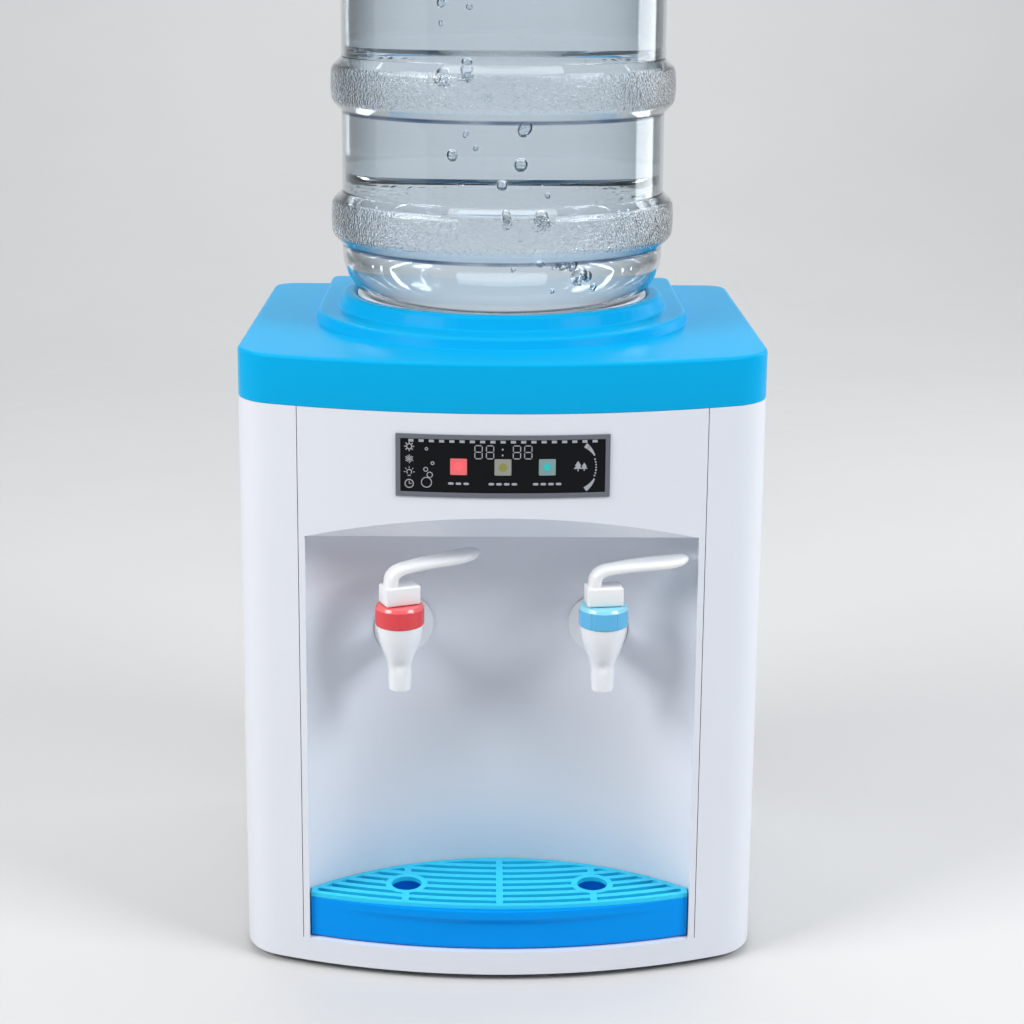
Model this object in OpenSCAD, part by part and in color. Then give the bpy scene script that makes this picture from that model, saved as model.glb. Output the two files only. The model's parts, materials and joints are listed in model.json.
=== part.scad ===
// Countertop water dispenser with a bottle on top, a hot tap, a cold tap and a drip tray.
// Millimetres. +Z is up, the taps face -Y, and the origin is on the worktop under the middle of the cabinet.

/* [Cabinet] */
// Width of the cabinet
body_w = 300; // [296:1:304]
// Depth over the display's frame and the back of the cabinet
body_d = 276.8; // [276.4:0.2:277.2]
// Height of the cover's flat deck above the worktop
deck_z = 364; // [362:1:370]
// Height of the cover's skirt
skirt_h = 28; // [24:1:30]
// Radius of the bulged front, seen from above
front_r = 363; // [355:1:375]
// Radius of the front corners
corner_r = 31.5; // [30:0.5:33]
// Radius of the back corners
back_r = 14; // [10:1:18]
// Thickness of the moulded walls
wall = 3; // [2.8:0.1:3.2]
// Height of the cabinet's lower edge above the worktop
edge_z = 4; // [4:0.5:4.5]

/* [Tap bay] */
// Half the width of the bay
bay_x = 110.5; // [109:0.5:111]
// Radius of the bay's concave back wall
bay_r = 170; // [165:1:175]
// Y of the back wall at the middle of the bay
bay_y = -69.5; // [-71:0.5:-69]
// Height of the bay's floor
bay_floor = 18; // [18:0.5:18.5]
// Height of the bay's flat ceiling
bay_top = 262; // [260:1:266]
// Thickness of the bay's lining
liner = 2.5; // [2:0.1:2.8]

/* [Taps] */
// Distance of each tap from the middle
tap_x = 57.3; // [55:0.1:59]
// Y of the taps' upright axes
tap_y = -124.3; // [-124.4:0.1:-123.5]
// Height of the taps' level inlets
inlet_z = 197; // [196:0.5:198]
// Angle of the hot lever at rest, anticlockwise from the right
hot_yaw = 23; // [0:1:25]
// Angle of the cold lever at rest, anticlockwise from the right
cold_yaw = 8; // [0:1:8]

/* [Bottle] */
// Y of the bottle's axis
seat_y = 26; // [25:1:27]
// Radius of the bottle between its ribs
bottle_r = 97.5; // [96:0.5:99]
// How far the ribs stand out
rib_out = 6.6; // [5:0.1:8]
// Height of the bottle's upturned base above the worktop
bottle_top = 644; // [640:1:700]
// Thickness of the bottle's wall
bottle_wall = 1.6; // [1.4:0.1:2]

/* [Display] */
// Width of the display's frame
display_w = 118; // [114:1:120]
// Height of the display's frame
display_h = 35.4; // [34:0.2:38]
// Height of the display's middle above the worktop
display_z = 306.7; // [305:0.1:308]

/* [Hidden] */
$fn = 48;
eps = 0.01;

// Plan outline of the cabinet
bezel_out = 0.9;
front_y = bezel_out - body_d / 2;
back_y = body_d / 2;
front_cy = front_y + front_r;
corner_x = body_w / 2 - corner_r;
corner_y = front_cy - sqrt(pow(front_r - corner_r, 2) - pow(corner_x, 2));
corner_a = asin(corner_x / (front_r - corner_r));
back_x = body_w / 2 - back_r;
shell_top = deck_z - skirt_h;

// Fascia and its seams
seam = 0.4;
fascia_x = 114.1;
wing_x = fascia_x + seam;
return_d = 8;
return_t = 2.5;
bay_cy = bay_y - bay_r;
lip_y = -120.5;
lip_slope = 0.9;
cut_y = -200;

// Tap stations
boss_r = 19;
pad_r = 18.2;
pad_y = bay_cy + sqrt(pow(bay_r, 2) - pow(tap_x, 2));
pad_a = asin(tap_x / bay_r);
boss_front = -90;
boss_back = -66;
flange_r = 18;
flange_t = 2.5;
neck_r = 8;
thread_r = 7.6;
thread_end = -58;
barb_r = 4;
barb_end = -44;
cap_r = 13.9;
cap_z = 212.2;
cap_h = 11.8;
cap_roof = 4.5;
valve_z = 193;
chamber_r = 8;
collar_h = 6;
spout_z = 174;
outlet_r = 4.5;
stem_r = 3;
stem_clear = 0.05;
stem_z = 197.1;
skirt_z = 208;
coil_r = 5.4;
wire_r = 0.5;
pin_r = 1.25;
pin_clear = 0.05;
pin_z = 229;
block_w = 20.6;
block_d = 13.5;
block_h = 11;

// Cover, seat and bottle
deck_t = 3;
plinth_h = 6;
plinth_x = 113;
plinth_cy = 14.5;
plinth_back = 133;
plinth_corner = 6;
ring_base_r = 100;
ring_top_r = 96.5;
ring_h = 8.5;
ring_round = 2;
mouth_r = 89;
seat_gap = 0.4;
cone_slope = 0.46;
neck_outer_r = 27.5;
neck_z = 306;
shoulder_z = 351;
shoulder_r = 32.6;
shoulder_cz = 403.8;
tube_r = 34;
tube_wall = 2.5;
tube_floor = 298;
rib_z = [424.5, 504.5, 584.5];
rib_h = 31;
rib_flat = 17;
rib_shoulder = [1.2, 2.5];

// Tanks and cooler
tank_r = 57;
tank_z = 185;
tank_top = 358;
tank_wall = 2.5;
gasket_t = 3;
hot_x = -57;
hot_y = 25;
hot_r = 40;
hot_z = 75;
hot_h = 75;
jacket_z = 55;
hose_in = 4.4;
hose_out = 6;
port_r = 4;
port_len = 8;
hose_sides = 10;
cool_z = 255;
cool_y = 86;
plate_t = 6;
peltier_t = 3.8;
fin_end = 114;
fan_y0 = 114.3;
fan_y1 = 129.3;
board_y = -127;
board_x = 100;

// Back of the cabinet
panel_x = 118;
panel_z0 = 26;
panel_z1 = 320;
panel_y = 129.5;
panel_t = 2.5;
flange_w = 8;
gland_x = 70;
gland_z = 52;
gland_r = 3.6;
switch_x = 70;
heat_z = 118;
cool_switch_z = 90;
drain_x = hot_x;
drain_z = 43;
rocker_y = 131.5;

// Display
bezel_lap = 1.2;
bezel_face = 2.7;
window_w = 9.2;
window_z = display_z - 0.3;
fit = 0.1;

// Drip tray
tray_gap = 0.8;
tray_inset = 3;
tray_wall = 2.2;
tray_top = 43;
grille_t = 2.6;
cup_x = 54.6;
cup_y = -105.5;
cup_r = 8.8;
cup_ring = 12.4;
bead_r = 314;
bead_z = 38;
slot_pitch = 7.5;
slot_w = 3.6;
rib_w = 4;

// ---------- shapes used by several parts ----------

function arc(cx, cy, r, a0, a1, n, first = 1) =
    [for (i = [first:n]) let (a = a0 + (a1 - a0) * i / n) [cx + r * cos(a), cy + r * sin(a)]];

// Plan outline of the cabinet, moved inwards by inset
function plan(inset = 0) = concat(
    arc(0, front_cy, front_r - inset, 270 - corner_a, 270 + corner_a, 26, 0),
    arc(corner_x, corner_y, corner_r - inset, 270 + corner_a, 360, 8),
    arc(back_x, back_y - back_r, back_r - inset, 0, 90, 6, 0),
    arc(-back_x, back_y - back_r, back_r - inset, 90, 180, 6, 0),
    arc(-corner_x, corner_y, corner_r - inset, 180, 270 - corner_a, 8, 0)
);

module plan_slab(inset, z0, z1) {
    translate([0, 0, z0]) linear_extrude(z1 - z0) polygon(plan(inset));
}

module box(x0, x1, y0, y1, z0, z1) {
    translate([x0, y0, z0]) cube([x1 - x0, y1 - y0, z1 - z0]);
}

// A cylinder along +Y from y0 to y1
module y_cylinder(x, y0, y1, z, r, fn = 48) {
    translate([x, y0, z]) rotate([-90, 0, 0]) cylinder(h = y1 - y0, r = r, $fn = fn);
}

// The plan of the bay, grown by o: a concave back wall between two side walls
module bay_plan(o = 0) {
    x = bay_x + o;
    a = asin(x / (bay_r + o));
    polygon(concat([[-x, cut_y], [x, cut_y]], arc(0, bay_cy, bay_r + o, 90 - a, 90 + a, 40, 0)));
}

// The space of the tap bay, grown by o: flat at the back of the ceiling and rising towards the front
module bay_space(o = 0) {
    rise = (lip_y - cut_y) * lip_slope;
    intersection() {
        translate([0, 0, bay_floor]) linear_extrude(200 + bay_top) bay_plan(o);
        rotate([90, 0, 90]) translate([0, 0, -body_w / 2]) linear_extrude(body_w)
            polygon([
                [cut_y, bay_floor - 1], [0, bay_floor - 1], [0, bay_top + o],
                [lip_y, bay_top + o], [cut_y, bay_top + rise + o * 1.345]
            ]);
    }
}

// The lens-shaped plan of the tray: the bay's back wall behind, a bulged edge in front
module lens_plan(gap, front_inset, bulge_r = 0) {
    x = bay_x - gap;
    ab = asin(x / (bay_r - gap));
    fr = bulge_r > 0 ? bulge_r : front_r - front_inset;
    edge = front_cy - sqrt(pow(front_r - front_inset, 2) - pow(x, 2));
    fc = edge + sqrt(pow(fr, 2) - pow(x, 2));
    af = asin(x / fr);
    polygon(concat(
        arc(0, fc, fr, 270 - af, 270 + af, 26, 0),
        arc(0, bay_cy, bay_r - gap, 90 - ab, 90 + ab, 40, 0)
    ));
}

// ---------- cabinet ----------

module outer_shell() color("white") {
    post_z = edge_z + 4;
    difference() {
        union() {
            difference() {
                plan_slab(0, edge_z, shell_top);
                plan_slab(wall, edge_z - 1, shell_top + 1);
            }
            // ledge that carries the tray, and the rim that the base pan is screwed to
            intersection() {
                plan_slab(1, bay_floor - liner, bay_floor);
                box(-bay_x - 8, bay_x + 8, cut_y, -64, 0, 40);
            }
            difference() {
                plan_slab(1, post_z, post_z + 2.5);
                plan_slab(wall + 5, post_z - 1, post_z + 4);
            }
            for (p = base_screw_points())
                translate([p[0], p[1], post_z]) cylinder(h = 12, r = 4.5);
            // inward returns of the two front wings
            for (s = [-1, 1])
                intersection() {
                    box(s * wing_x - (s < 0 ? return_t : 0), s * wing_x + (s > 0 ? return_t : 0),
                        cut_y, -118.5 + return_d, bay_floor - 1, shell_top);
                    plan_slab(1, edge_z, shell_top);
                }
            // frame round the back opening
            rear_frame();
        }
        // opening for the fascia
        box(-wing_x, wing_x, cut_y, -100, bay_floor, shell_top + 1);
        // opening for the rear panel
        box(-panel_x, panel_x, panel_y, 200, panel_z0, panel_z1);
        box(-panel_x + flange_w, panel_x - flange_w, 100, 200, panel_z0 + flange_w, panel_z1 - flange_w);
        for (p = base_screw_points())
            translate([p[0], p[1], 0]) cylinder(h = 18, r = 1.8);
        for (p = panel_screw_points())
            y_cylinder(p[0], 120, 140, p[1], 1.6);
    }
}

module rear_frame() {
    y0 = panel_y - 3;
    difference() {
        box(-panel_x - 3, panel_x + 3, y0, back_y - 1, panel_z0 - 3, panel_z1 + 3);
        box(-panel_x + flange_w, panel_x - flange_w, 0, 200, panel_z0 + flange_w, panel_z1 - flange_w);
    }
}

function base_screw_points() = [for (x = [-132, 132], y = [-68, 92]) [x, y]];
function panel_screw_points() = [for (x = [-114, 114], z = [panel_z0 + 4, panel_z1 - 4]) [x, z]];
function foot_points() = [for (x = [-112, 112], y = [-88, 108]) [x, y]];

module front_fascia() color("white") {
    difference() {
        union() {
            difference() {
                intersection() {
                    plan_slab(0, bay_floor, shell_top);
                    box(-fascia_x, fascia_x, cut_y, -100, 0, 400);
                }
                plan_slab(wall, 0, 400);
                bay_space();
            }
            // lining of the bay
            intersection() {
                difference() {
                    bay_space(liner);
                    bay_space();
                }
                plan_slab(0, bay_floor, shell_top);
            }
            // returns above the bay
            for (s = [-1, 1])
                intersection() {
                    box(s * fascia_x - (s > 0 ? return_t : 0), s * fascia_x + (s < 0 ? return_t : 0),
                        cut_y, -118.5 + return_d, bay_top, shell_top);
                    plan_slab(1, bay_floor, shell_top);
                }
            // pads behind the wall for the taps' nuts
            difference() {
                for (s = [-1, 1])
                    y_cylinder(s * tap_x, boss_front, boss_back, inlet_z, boss_r);
                bay_space();
            }
            // posts that carry the display board
            for (x = [-50, 50], z = [-19.5, 19.5])
                y_cylinder(x, -131.5, board_y, display_z + z, 2.5);
        }
        for (s = [-1, 1]) {
            on_wall(s) cylinder(h = 10, r = pad_r);
            y_cylinder(s * tap_x, -100, -50, inlet_z, neck_r + 0.3);
        }
        display_box(bezel_lap, -150, -120);
    }
}

// Puts a shape on the bay's wall at a tap, with its +Z square to the wall and its origin on it
module on_wall(side)
    translate([side * tap_x, pad_y, inlet_z]) rotate([0, 0, -side * pad_a]) rotate([90, 0, 0]) children();

// The cover's plinth: round in front, straight at the sides, square at the back
module plinth_plan(inset = 0) {
    r = plinth_x - inset;
    cr = plinth_corner - inset / 2;
    xb = plinth_x - plinth_corner - inset / 2;
    yb = plinth_back - plinth_corner - inset / 2;
    polygon(concat(
        arc(0, plinth_cy, r, 180, 360, 44, 0),
        arc(xb, yb, cr, 0, 90, 5, 0),
        arc(-xb, yb, cr, 90, 180, 5, 0)
    ));
}

module top_cover() color("deepskyblue") {
    top = deck_z + plinth_h;
    difference() {
        union() {
            plan_slab(0, shell_top, deck_z);
            translate([0, 0, deck_z - 1]) linear_extrude(plinth_h + 1) plinth_plan();
            translate([0, seat_y, 0]) rotate_extrude($fn = 96)
                polygon(concat(
                    [[mouth_r - 5, top - 1], [ring_base_r, top - 1], [ring_base_r, top]],
                    arc(ring_top_r - ring_round, top + ring_h - ring_round, ring_round, 0, 90, 4, 0),
                    [[mouth_r - 5, top + ring_h]]
                ));
        }
        plan_slab(wall, shell_top - 1, deck_z - deck_t);
        translate([0, 0, shell_top]) linear_extrude(top - deck_t - shell_top) plinth_plan(wall);
        translate([0, seat_y, shell_top]) cylinder(h = 100, r = mouth_r, $fn = 96);
    }
}

module vent_slots(x0, x1, z0, z1, pitch, h) {
    for (z = [z0:pitch:z1])
        box(x0, x1, panel_y - 1, panel_y + panel_t + 1, z, z + h);
}

module rear_panel() color("whitesmoke") {
    gap = 0.4;
    difference() {
        box(-panel_x + gap, panel_x - gap, panel_y, panel_y + panel_t, panel_z0 + gap, panel_z1 - gap);
        // fan grille and lower intake
        intersection() {
            for (c = [-1, 1])
                vent_slots(c < 0 ? -37 : 2, c < 0 ? -2 : 37, cool_z - 36, cool_z + 34, 7, 3.6);
            y_cylinder(0, 120, 140, cool_z, 37);
        }
        vent_slots(-40, -4, 70, 150, 8, 3.6);
        vent_slots(4, 40, 70, 150, 8, 3.6);
        y_cylinder(gland_x, 120, 140, gland_z, 6.6);
        y_cylinder(drain_x, 120, 140, drain_z, 6.2);
        for (z = [heat_z, cool_switch_z])
            box(switch_x - 7.7, switch_x + 7.7, 120, 140, z - 10.2, z + 10.2);
        for (p = panel_screw_points())
            y_cylinder(p[0], 120, 140, p[1], 1.8);
    }
}

module base_pan() color("dimgray") {
    z0 = edge_z + 1;
    t = 3;
    difference() {
        union() {
            plan_slab(wall + 0.4, z0, z0 + t);
            // posts under the hot tank, and rails that hold the power board
            for (a = [30, 150, 270])
                translate([hot_x + 30 * cos(a), hot_y + 30 * sin(a), z0]) cylinder(h = jacket_z - z0, r = 4);
            for (x = [97, 101.9])
                box(x, x + 2.7, -10, 80, z0, z0 + t + 8);
        }
        for (p = foot_points())
            translate([p[0], p[1], 0]) cylinder(h = 20, r = 3.1);
        for (p = base_screw_points())
            translate([p[0], p[1], 0]) cylinder(h = 20, r = 2);
        for (x = [-30:10:30])
            box(x - 2, x + 2, 20, 80, 0, 20);
    }
}

module feet() color("darkslategray")
    for (p = foot_points())
        translate([p[0], p[1], 0]) {
            cylinder(h = edge_z + 1, r1 = 9, r2 = 10);
            translate([0, 0, edge_z + 1 - eps]) cylinder(h = 4, r = 3);
        }

module base_screws() color("silver")
    for (p = base_screw_points())
        translate([p[0], p[1], 0]) {
            translate([0, 0, edge_z - 1]) cylinder(h = 2, r1 = 3, r2 = 3.6);
            translate([0, 0, edge_z]) cylinder(h = 13, r = 1.75);
        }

module rear_panel_screws() color("silver")
    for (p = panel_screw_points()) {
        y_cylinder(p[0], panel_y + panel_t, panel_y + panel_t + 1.8, p[1], 3.2);
        y_cylinder(p[0], panel_y - 5, panel_y + panel_t + eps, p[1], 1.5);
    }

// ---------- bottle and its seat ----------

module bottle_seat() color("white") {
    lip_z = deck_z + plinth_h + ring_h - 1;
    under_z = deck_z + plinth_h - deck_t;
    lip_r = 85.5;
    cone_r = 81;
    cone_z = 374.9;
    low_z = cone_z - (cone_r - tube_r) * cone_slope;
    land_z = tank_top + gasket_t;
    outer_r = tube_r + tube_wall;
    translate([0, seat_y, 0]) difference() {
        rotate_extrude($fn = 96)
            polygon([
                [0, tube_floor - 3], [outer_r, tube_floor - 3], [outer_r, low_z - 1.8],
                [53, low_z - 1.8 + (53 - outer_r) * cone_slope], [53, land_z], [tank_r + 1, land_z],
                [tank_r + 1, low_z - 1.8 + (tank_r + 1 - outer_r) * cone_slope],
                [79.5, 371.4], [79.5, under_z - 3],
                [99, under_z - 3], [99, under_z], [mouth_r - seat_gap, under_z], [mouth_r - seat_gap, lip_z],
                [lip_r, lip_z], [cone_r, cone_z], [tube_r, low_z], [tube_r, tube_floor], [0, tube_floor]
            ]);
        translate([0, 0, tube_floor - 4]) cylinder(h = 10, r = 9.1);
        // slots that let the water out of the feed tube
        for (a = [0:60:300])
            rotate(a) translate([20, 0, tube_floor - 4]) cylinder(h = 10, r = 5);
    }
}

module seat_gasket() color("gray")
    translate([0, seat_y, tank_top]) difference() {
        cylinder(h = gasket_t, r = tank_r, $fn = 96);
        translate([0, 0, -1]) cylinder(h = 5, r = tank_r - 3, $fn = 96);
    }

// Hollow spike that opens the bottle's cap
module feed_probe() color("white")
    translate([0, seat_y, 0]) difference() {
        union() {
            translate([0, 0, tube_floor - 8]) cylinder(h = 48, r = 9);
            translate([0, 0, tube_floor - 8]) cylinder(h = 5, r = 14);
            translate([0, 0, tube_floor + 40]) cylinder(h = 8, r1 = 9, r2 = 2.5);
        }
        translate([0, 0, tube_floor - 9]) cylinder(h = 46, r = 6.5);
        for (a = [0, 90])
            rotate(a) translate([-10, -2, tube_floor + 22]) cube([20, 4, 12]);
    }

// One rib, as distances out from the bottle's wall and up from the rib's middle
function rib_profile() = let (h = rib_flat / 2, in = rib_out - rib_shoulder[0], up = h + rib_shoulder[1])
    [[0, -rib_h / 2], [in, -up], [rib_out, -h], [rib_out, h], [in, up], [0, rib_h / 2]];

// Half profile of the bottle, from the mouth of its neck to its upturned base, moved inwards by o
function bottle_profile(o = 0) = concat(
    [[neck_outer_r - o, neck_z], [neck_outer_r - o, shoulder_z + o]],
    arc(bottle_r - shoulder_r, shoulder_cz, shoulder_r - o, -65.3, 0, 8, 0),
    [for (z = rib_z, p = rib_profile()) [bottle_r + p[0] - o, z + p[1]]],
    arc(bottle_r - 22, bottle_top - 22, 22 - o, 0, 90, 6, 0),
    [[62, bottle_top - o], [54, bottle_top - 5 - o], [0, bottle_top - 5 - o]]
);

module bottle() color("lightsteelblue", 0.4)
    translate([0, seat_y, 0]) rotate_extrude($fn = 96)
        polygon(concat(
            bottle_profile(),
            [for (i = [len(bottle_profile()) - 1:-1:0]) bottle_profile(bottle_wall)[i]]
        ));

module bottle_cap() color("royalblue")
    translate([0, seat_y, neck_z - 2.2]) {
        difference() {
            cylinder(h = 20, r = neck_outer_r + 2.2);
            translate([0, 0, 2]) cylinder(h = 20, r = neck_outer_r + 0.2);
            translate([0, 0, -1]) cylinder(h = 10, r = 9.6);
        }
        difference() {
            cylinder(h = 22, r = 11.6);
            translate([0, 0, -1]) cylinder(h = 30, r = 9.6);
        }
    }

// ---------- tanks, hoses and cooler ----------

module reservoir() color("ivory") {
    difference() {
        union() {
            translate([0, seat_y, tank_z]) cylinder(h = tank_top - tank_z, r = tank_r, $fn = 96);
            box(-24, 24, 70, cool_y, cool_z - 28, cool_z + 28);
            translate([-30, 40, tank_z - port_len]) cylinder(h = port_len + 1, r = port_r);
            y_cylinder(45, -22, 0, inlet_z, port_r);
        }
        translate([0, seat_y, tank_z + tank_wall])
            cylinder(h = 400, r = tank_r - tank_wall, $fn = 96);
        translate([-30, 40, tank_z - 20]) cylinder(h = 40, r = port_r - 1.2);
        y_cylinder(45, -30, 5, inlet_z, port_r - 1.2);
    }
}

module reservoir_foam() color("gainsboro")
    translate([0, seat_y, 212]) difference() {
        cylinder(h = 130, r = tank_r + 4.5, $fn = 96);
        translate([0, 0, -1]) cylinder(h = 140, r = tank_r + 0.3, $fn = 96);
        translate([-25, 20, -1]) cube([50, 60, 140]);
    }

module hot_tank() color("silver")
    translate([hot_x, hot_y, hot_z]) difference() {
        union() {
            cylinder(h = hot_h, r = hot_r, $fn = 72);
            for (p = hot_ports())
                translate([p[0], p[1], hot_h - 1]) cylinder(h = port_len + 1, r = port_r);
            translate([0, 0, -port_len]) cylinder(h = port_len + 1, r = port_r);
        }
        translate([0, 0, 1]) cylinder(h = hot_h - 2, r = hot_r - 1, $fn = 72);
        for (p = hot_ports())
            translate([p[0], p[1], hot_h - 5]) cylinder(h = 40, r = port_r - 1);
        translate([0, 0, -20]) cylinder(h = 30, r = port_r - 1);
    }

function hot_ports() = [[0, -20], [17, 11]];

module heater_band() color("goldenrod")
    translate([hot_x, hot_y, hot_z + 14]) difference() {
        union() {
            cylinder(h = 34, r = hot_r + 2.2, $fn = 72);
            translate([hot_r - 1, -7, 8]) cube([8, 14, 18]);
        }
        translate([0, 0, -1]) cylinder(h = 40, r = hot_r + 0.2, $fn = 72);
        translate([hot_r - 5, -1, -1]) cube([20, 2, 40]);
    }

module hot_tank_jacket() color("gray")
    translate([hot_x, hot_y, jacket_z]) difference() {
        cylinder(h = hot_z + hot_h + 8 - jacket_z, r = 49, $fn = 72);
        translate([0, 0, hot_z - jacket_z]) cylinder(h = 200, r = hot_r + 2.6, $fn = 72);
        translate([0, 0, -1]) cylinder(h = 40, r = 9);
        translate([hot_r - 2, -9, hot_z - jacket_z + 12]) cube([20, 18, 200]);
    }

module thermostats() color("black")
    for (p = [[-18, 14], [14, -20]])
        translate([hot_x + p[0], hot_y + p[1], hot_z + hot_h]) {
            cylinder(h = 4, r = 7.5);
            translate([0, 0, 4 - eps]) cylinder(h = 5, r = 5);
        }

module cold_plate() color("silver")
    box(-22, 22, cool_y, cool_y + plate_t, cool_z - 22, cool_z + 22);

module peltier_module() color("white")
    box(-20, 20, cool_y + plate_t, cool_y + plate_t + peltier_t, cool_z - 20, cool_z + 20);

module heatsink() color("silver") {
    y0 = cool_y + plate_t + peltier_t;
    half = 39;
    base_t = 4;
    fin_t = 1.2;
    fin_pitch = 6.4;
    box(-half, half, y0, y0 + base_t, cool_z - half, cool_z + half);
    for (x = [-half:fin_pitch:half - fin_t])
        box(x, x + fin_t, y0 + base_t - 0.1, fin_end, cool_z - half, cool_z + half);
}

module fan_frame() color("dimgray") {
    difference() {
        box(-40, 40, fan_y0, fan_y1, cool_z - 40, cool_z + 40);
        y_cylinder(0, 100, 140, cool_z, 37.5, 72);
        for (x = [-35.7, 35.7], z = [-35.7, 35.7])
            y_cylinder(x, 100, 140, cool_z + z, 2.2);
    }
    // motor plate on four struts, with the axle
    y_cylinder(0, fan_y1 - 2.8, fan_y1 - 0.4, cool_z, 15);
    for (a = [45:90:315])
        translate([0, fan_y1 - 2.4, cool_z]) rotate([0, a, 0]) translate([12, 0, -2]) cube([29, 1.6, 4]);
    y_cylinder(0, fan_y0 + 4, fan_y1 - 2, cool_z, 1.5);
}

module fan_rotor() color("black") difference() {
    union() {
        y_cylinder(0, fan_y0 + 1, fan_y1 - 3, cool_z, 14.5);
        for (a = [0:360 / 7:359])
            translate([0, fan_y0 + 6.4, cool_z]) rotate([0, a, 0]) rotate([38, 0, 0])
                translate([13, -0.6, -6.5]) cube([22.5, 1.2, 13]);
    }
    y_cylinder(0, fan_y0 + 3, fan_y1, cool_z, 1.55);
}

module power_board() color("darkgreen") {
    box(board_x, board_x + 1.6, -8, 78, 8.2, 128);
    // relay, two capacitors, and a heat spreader on the other face
    box(board_x - 8, board_x + 0.1, -2, 14, 100, 122);
    for (y = [30, 48])
        translate([board_x + 0.1, y, 112]) rotate([0, -90, 0]) cylinder(h = 20, r = 7);
    box(board_x + 1.5, board_x + 6, 10, 60, 96, 120);
}

module transformer() color("darkorange") {
    box(board_x - 30, board_x - 0.1, 8, 52, 24, 72);
    box(board_x - 34, board_x - 0.1, 16, 44, 32, 64);
}

module display_board() color("darkgreen")
    box(-54, 54, board_y, board_y + 1.6, display_z - 22.5, display_z + 22.5);

module indicator_leds() color("red")
    for (x = window_xs())
        y_cylinder(x, -132, board_y, window_z, 2.5);

function window_xs() = [-24.3, 0, 24.3];

// A block through the front, smaller than the display's frame by inset on every side
module display_box(inset, y0, y1) {
    x = display_w / 2 - inset;
    z = display_h / 2 - inset;
    box(-x, x, y0, y1, display_z - z, display_z + z);
}

// A slab that follows the bulged front, between two depths under its surface
module front_slab(d0, d1, inset) {
    intersection() {
        difference() {
            plan_slab(d0, display_z - 40, display_z + 40);
            plan_slab(d1, display_z - 41, display_z + 41);
        }
        display_box(inset, cut_y, -110);
    }
}

module window_box(x, half)
    box(x - half, x + half, cut_y, -100, window_z - half, window_z + half);

module display_bezel() color("slategray") difference() {
    union() {
        front_slab(-bezel_out, -0.02, 0);
        front_slab(-0.5, wall, bezel_lap + fit);
    }
    display_box(bezel_face, cut_y, -100);
}

module display_panel() color("black") difference() {
    front_slab(-0.3, 1.8, bezel_face + fit);
    for (x = window_xs())
        window_box(x, window_w / 2 + fit / 2);
}

module indicator_window(x) {
    intersection() {
        front_slab(-0.45, 3, bezel_face + 1);
        window_box(x, window_w / 2);
    }
}

module indicator_windows() {
    color("red") indicator_window(window_xs()[0]);
    color("olive") indicator_window(window_xs()[1]);
    color("teal") indicator_window(window_xs()[2]);
}

// A hose swept along a list of points: outer and inner walls with ring-shaped ends

function unit(v) = v / norm(v);
function spline(a, b, c, d, t) =
    0.5 * (2 * b + (c - a) * t + (2 * a - 5 * b + 4 * c - d) * t * t + (3 * b - a - 3 * c + d) * t * t * t);
function smooth(p, n = 5) = concat(
    [for (i = [0:len(p) - 2], j = [0:n - 1])
        spline(p[max(i - 1, 0)], p[i], p[i + 1], p[min(i + 2, len(p) - 1)], j / n)],
    [p[len(p) - 1]]
);
function tangent(p, i) = unit(p[min(i + 1, len(p) - 1)] - p[max(i - 1, 0)]);
function ring(c, t, r, side) = let (u = unit(cross(t, side)), v = cross(t, u))
    [for (k = [0:hose_sides - 1]) let (a = 360 * k / hose_sides) c + r * (u * cos(a) + v * sin(a))];

module hose(route, side) {
    p = smooth(route);
    n = len(p);
    s = hose_sides;
    outer = [for (i = [0:n - 1]) each ring(p[i], tangent(p, i), hose_out, side)];
    inner = [for (i = [0:n - 1]) each ring(p[i], tangent(p, i), hose_in, side)];
    m = n * s;
    last = (n - 1) * s;
    polyhedron(
        points = concat(outer, inner),
        faces = concat(
            [for (i = [0:n - 2], k = [0:s - 1])
                [i * s + k, i * s + (k + 1) % s, (i + 1) * s + (k + 1) % s, (i + 1) * s + k]],
            [for (i = [0:n - 2], k = [0:s - 1])
                [m + i * s + k, m + (i + 1) * s + k, m + (i + 1) * s + (k + 1) % s, m + i * s + (k + 1) % s]],
            [for (k = [0:s - 1]) [k, m + k, m + (k + 1) % s, (k + 1) % s]],
            [for (k = [0:s - 1]) [last + k, last + (k + 1) % s, m + last + (k + 1) % s, m + last + k]]
        ),
        convexity = 6
    );
}

module hot_hose() color("snow")
    hose([
        [-tap_x, -57, inlet_z], [-tap_x, -50, inlet_z], [-tap_x, -44, inlet_z], [-57.2, -36, inlet_z - 1.5],
        [-57.1, -26, inlet_z - 7], [-57, -13, 179], [-57, -3, 170.5], [-57, 3.2, 163.5], [-57, 5, 158],
        [-57, 5, 155], [-57, 5, 151.5]
    ], [1, 0, 0]);

module cold_hose() color("snow")
    hose([
        [tap_x, -57, inlet_z], [tap_x, -50, inlet_z], [tap_x, -44, inlet_z], [55.6, -39, inlet_z],
        [51.1, -33.5, inlet_z], [46.7, -28, inlet_z], [45, -23, inlet_z], [45, -20, inlet_z],
        [45, -17, inlet_z]
    ], [0, 0, 1]);

module supply_hose() color("snow")
    hose([
        [-30, 40, 184], [-30, 40, 180.5], [-30, 40, 177], [-31.8, 39.3, 172.5], [-35, 38, 167.5],
        [-38.2, 36.7, 162.5], [-40, 36, 158], [-40, 36, 154.8], [-40, 36, 151.5]
    ], [1, 0, 0]);

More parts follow.
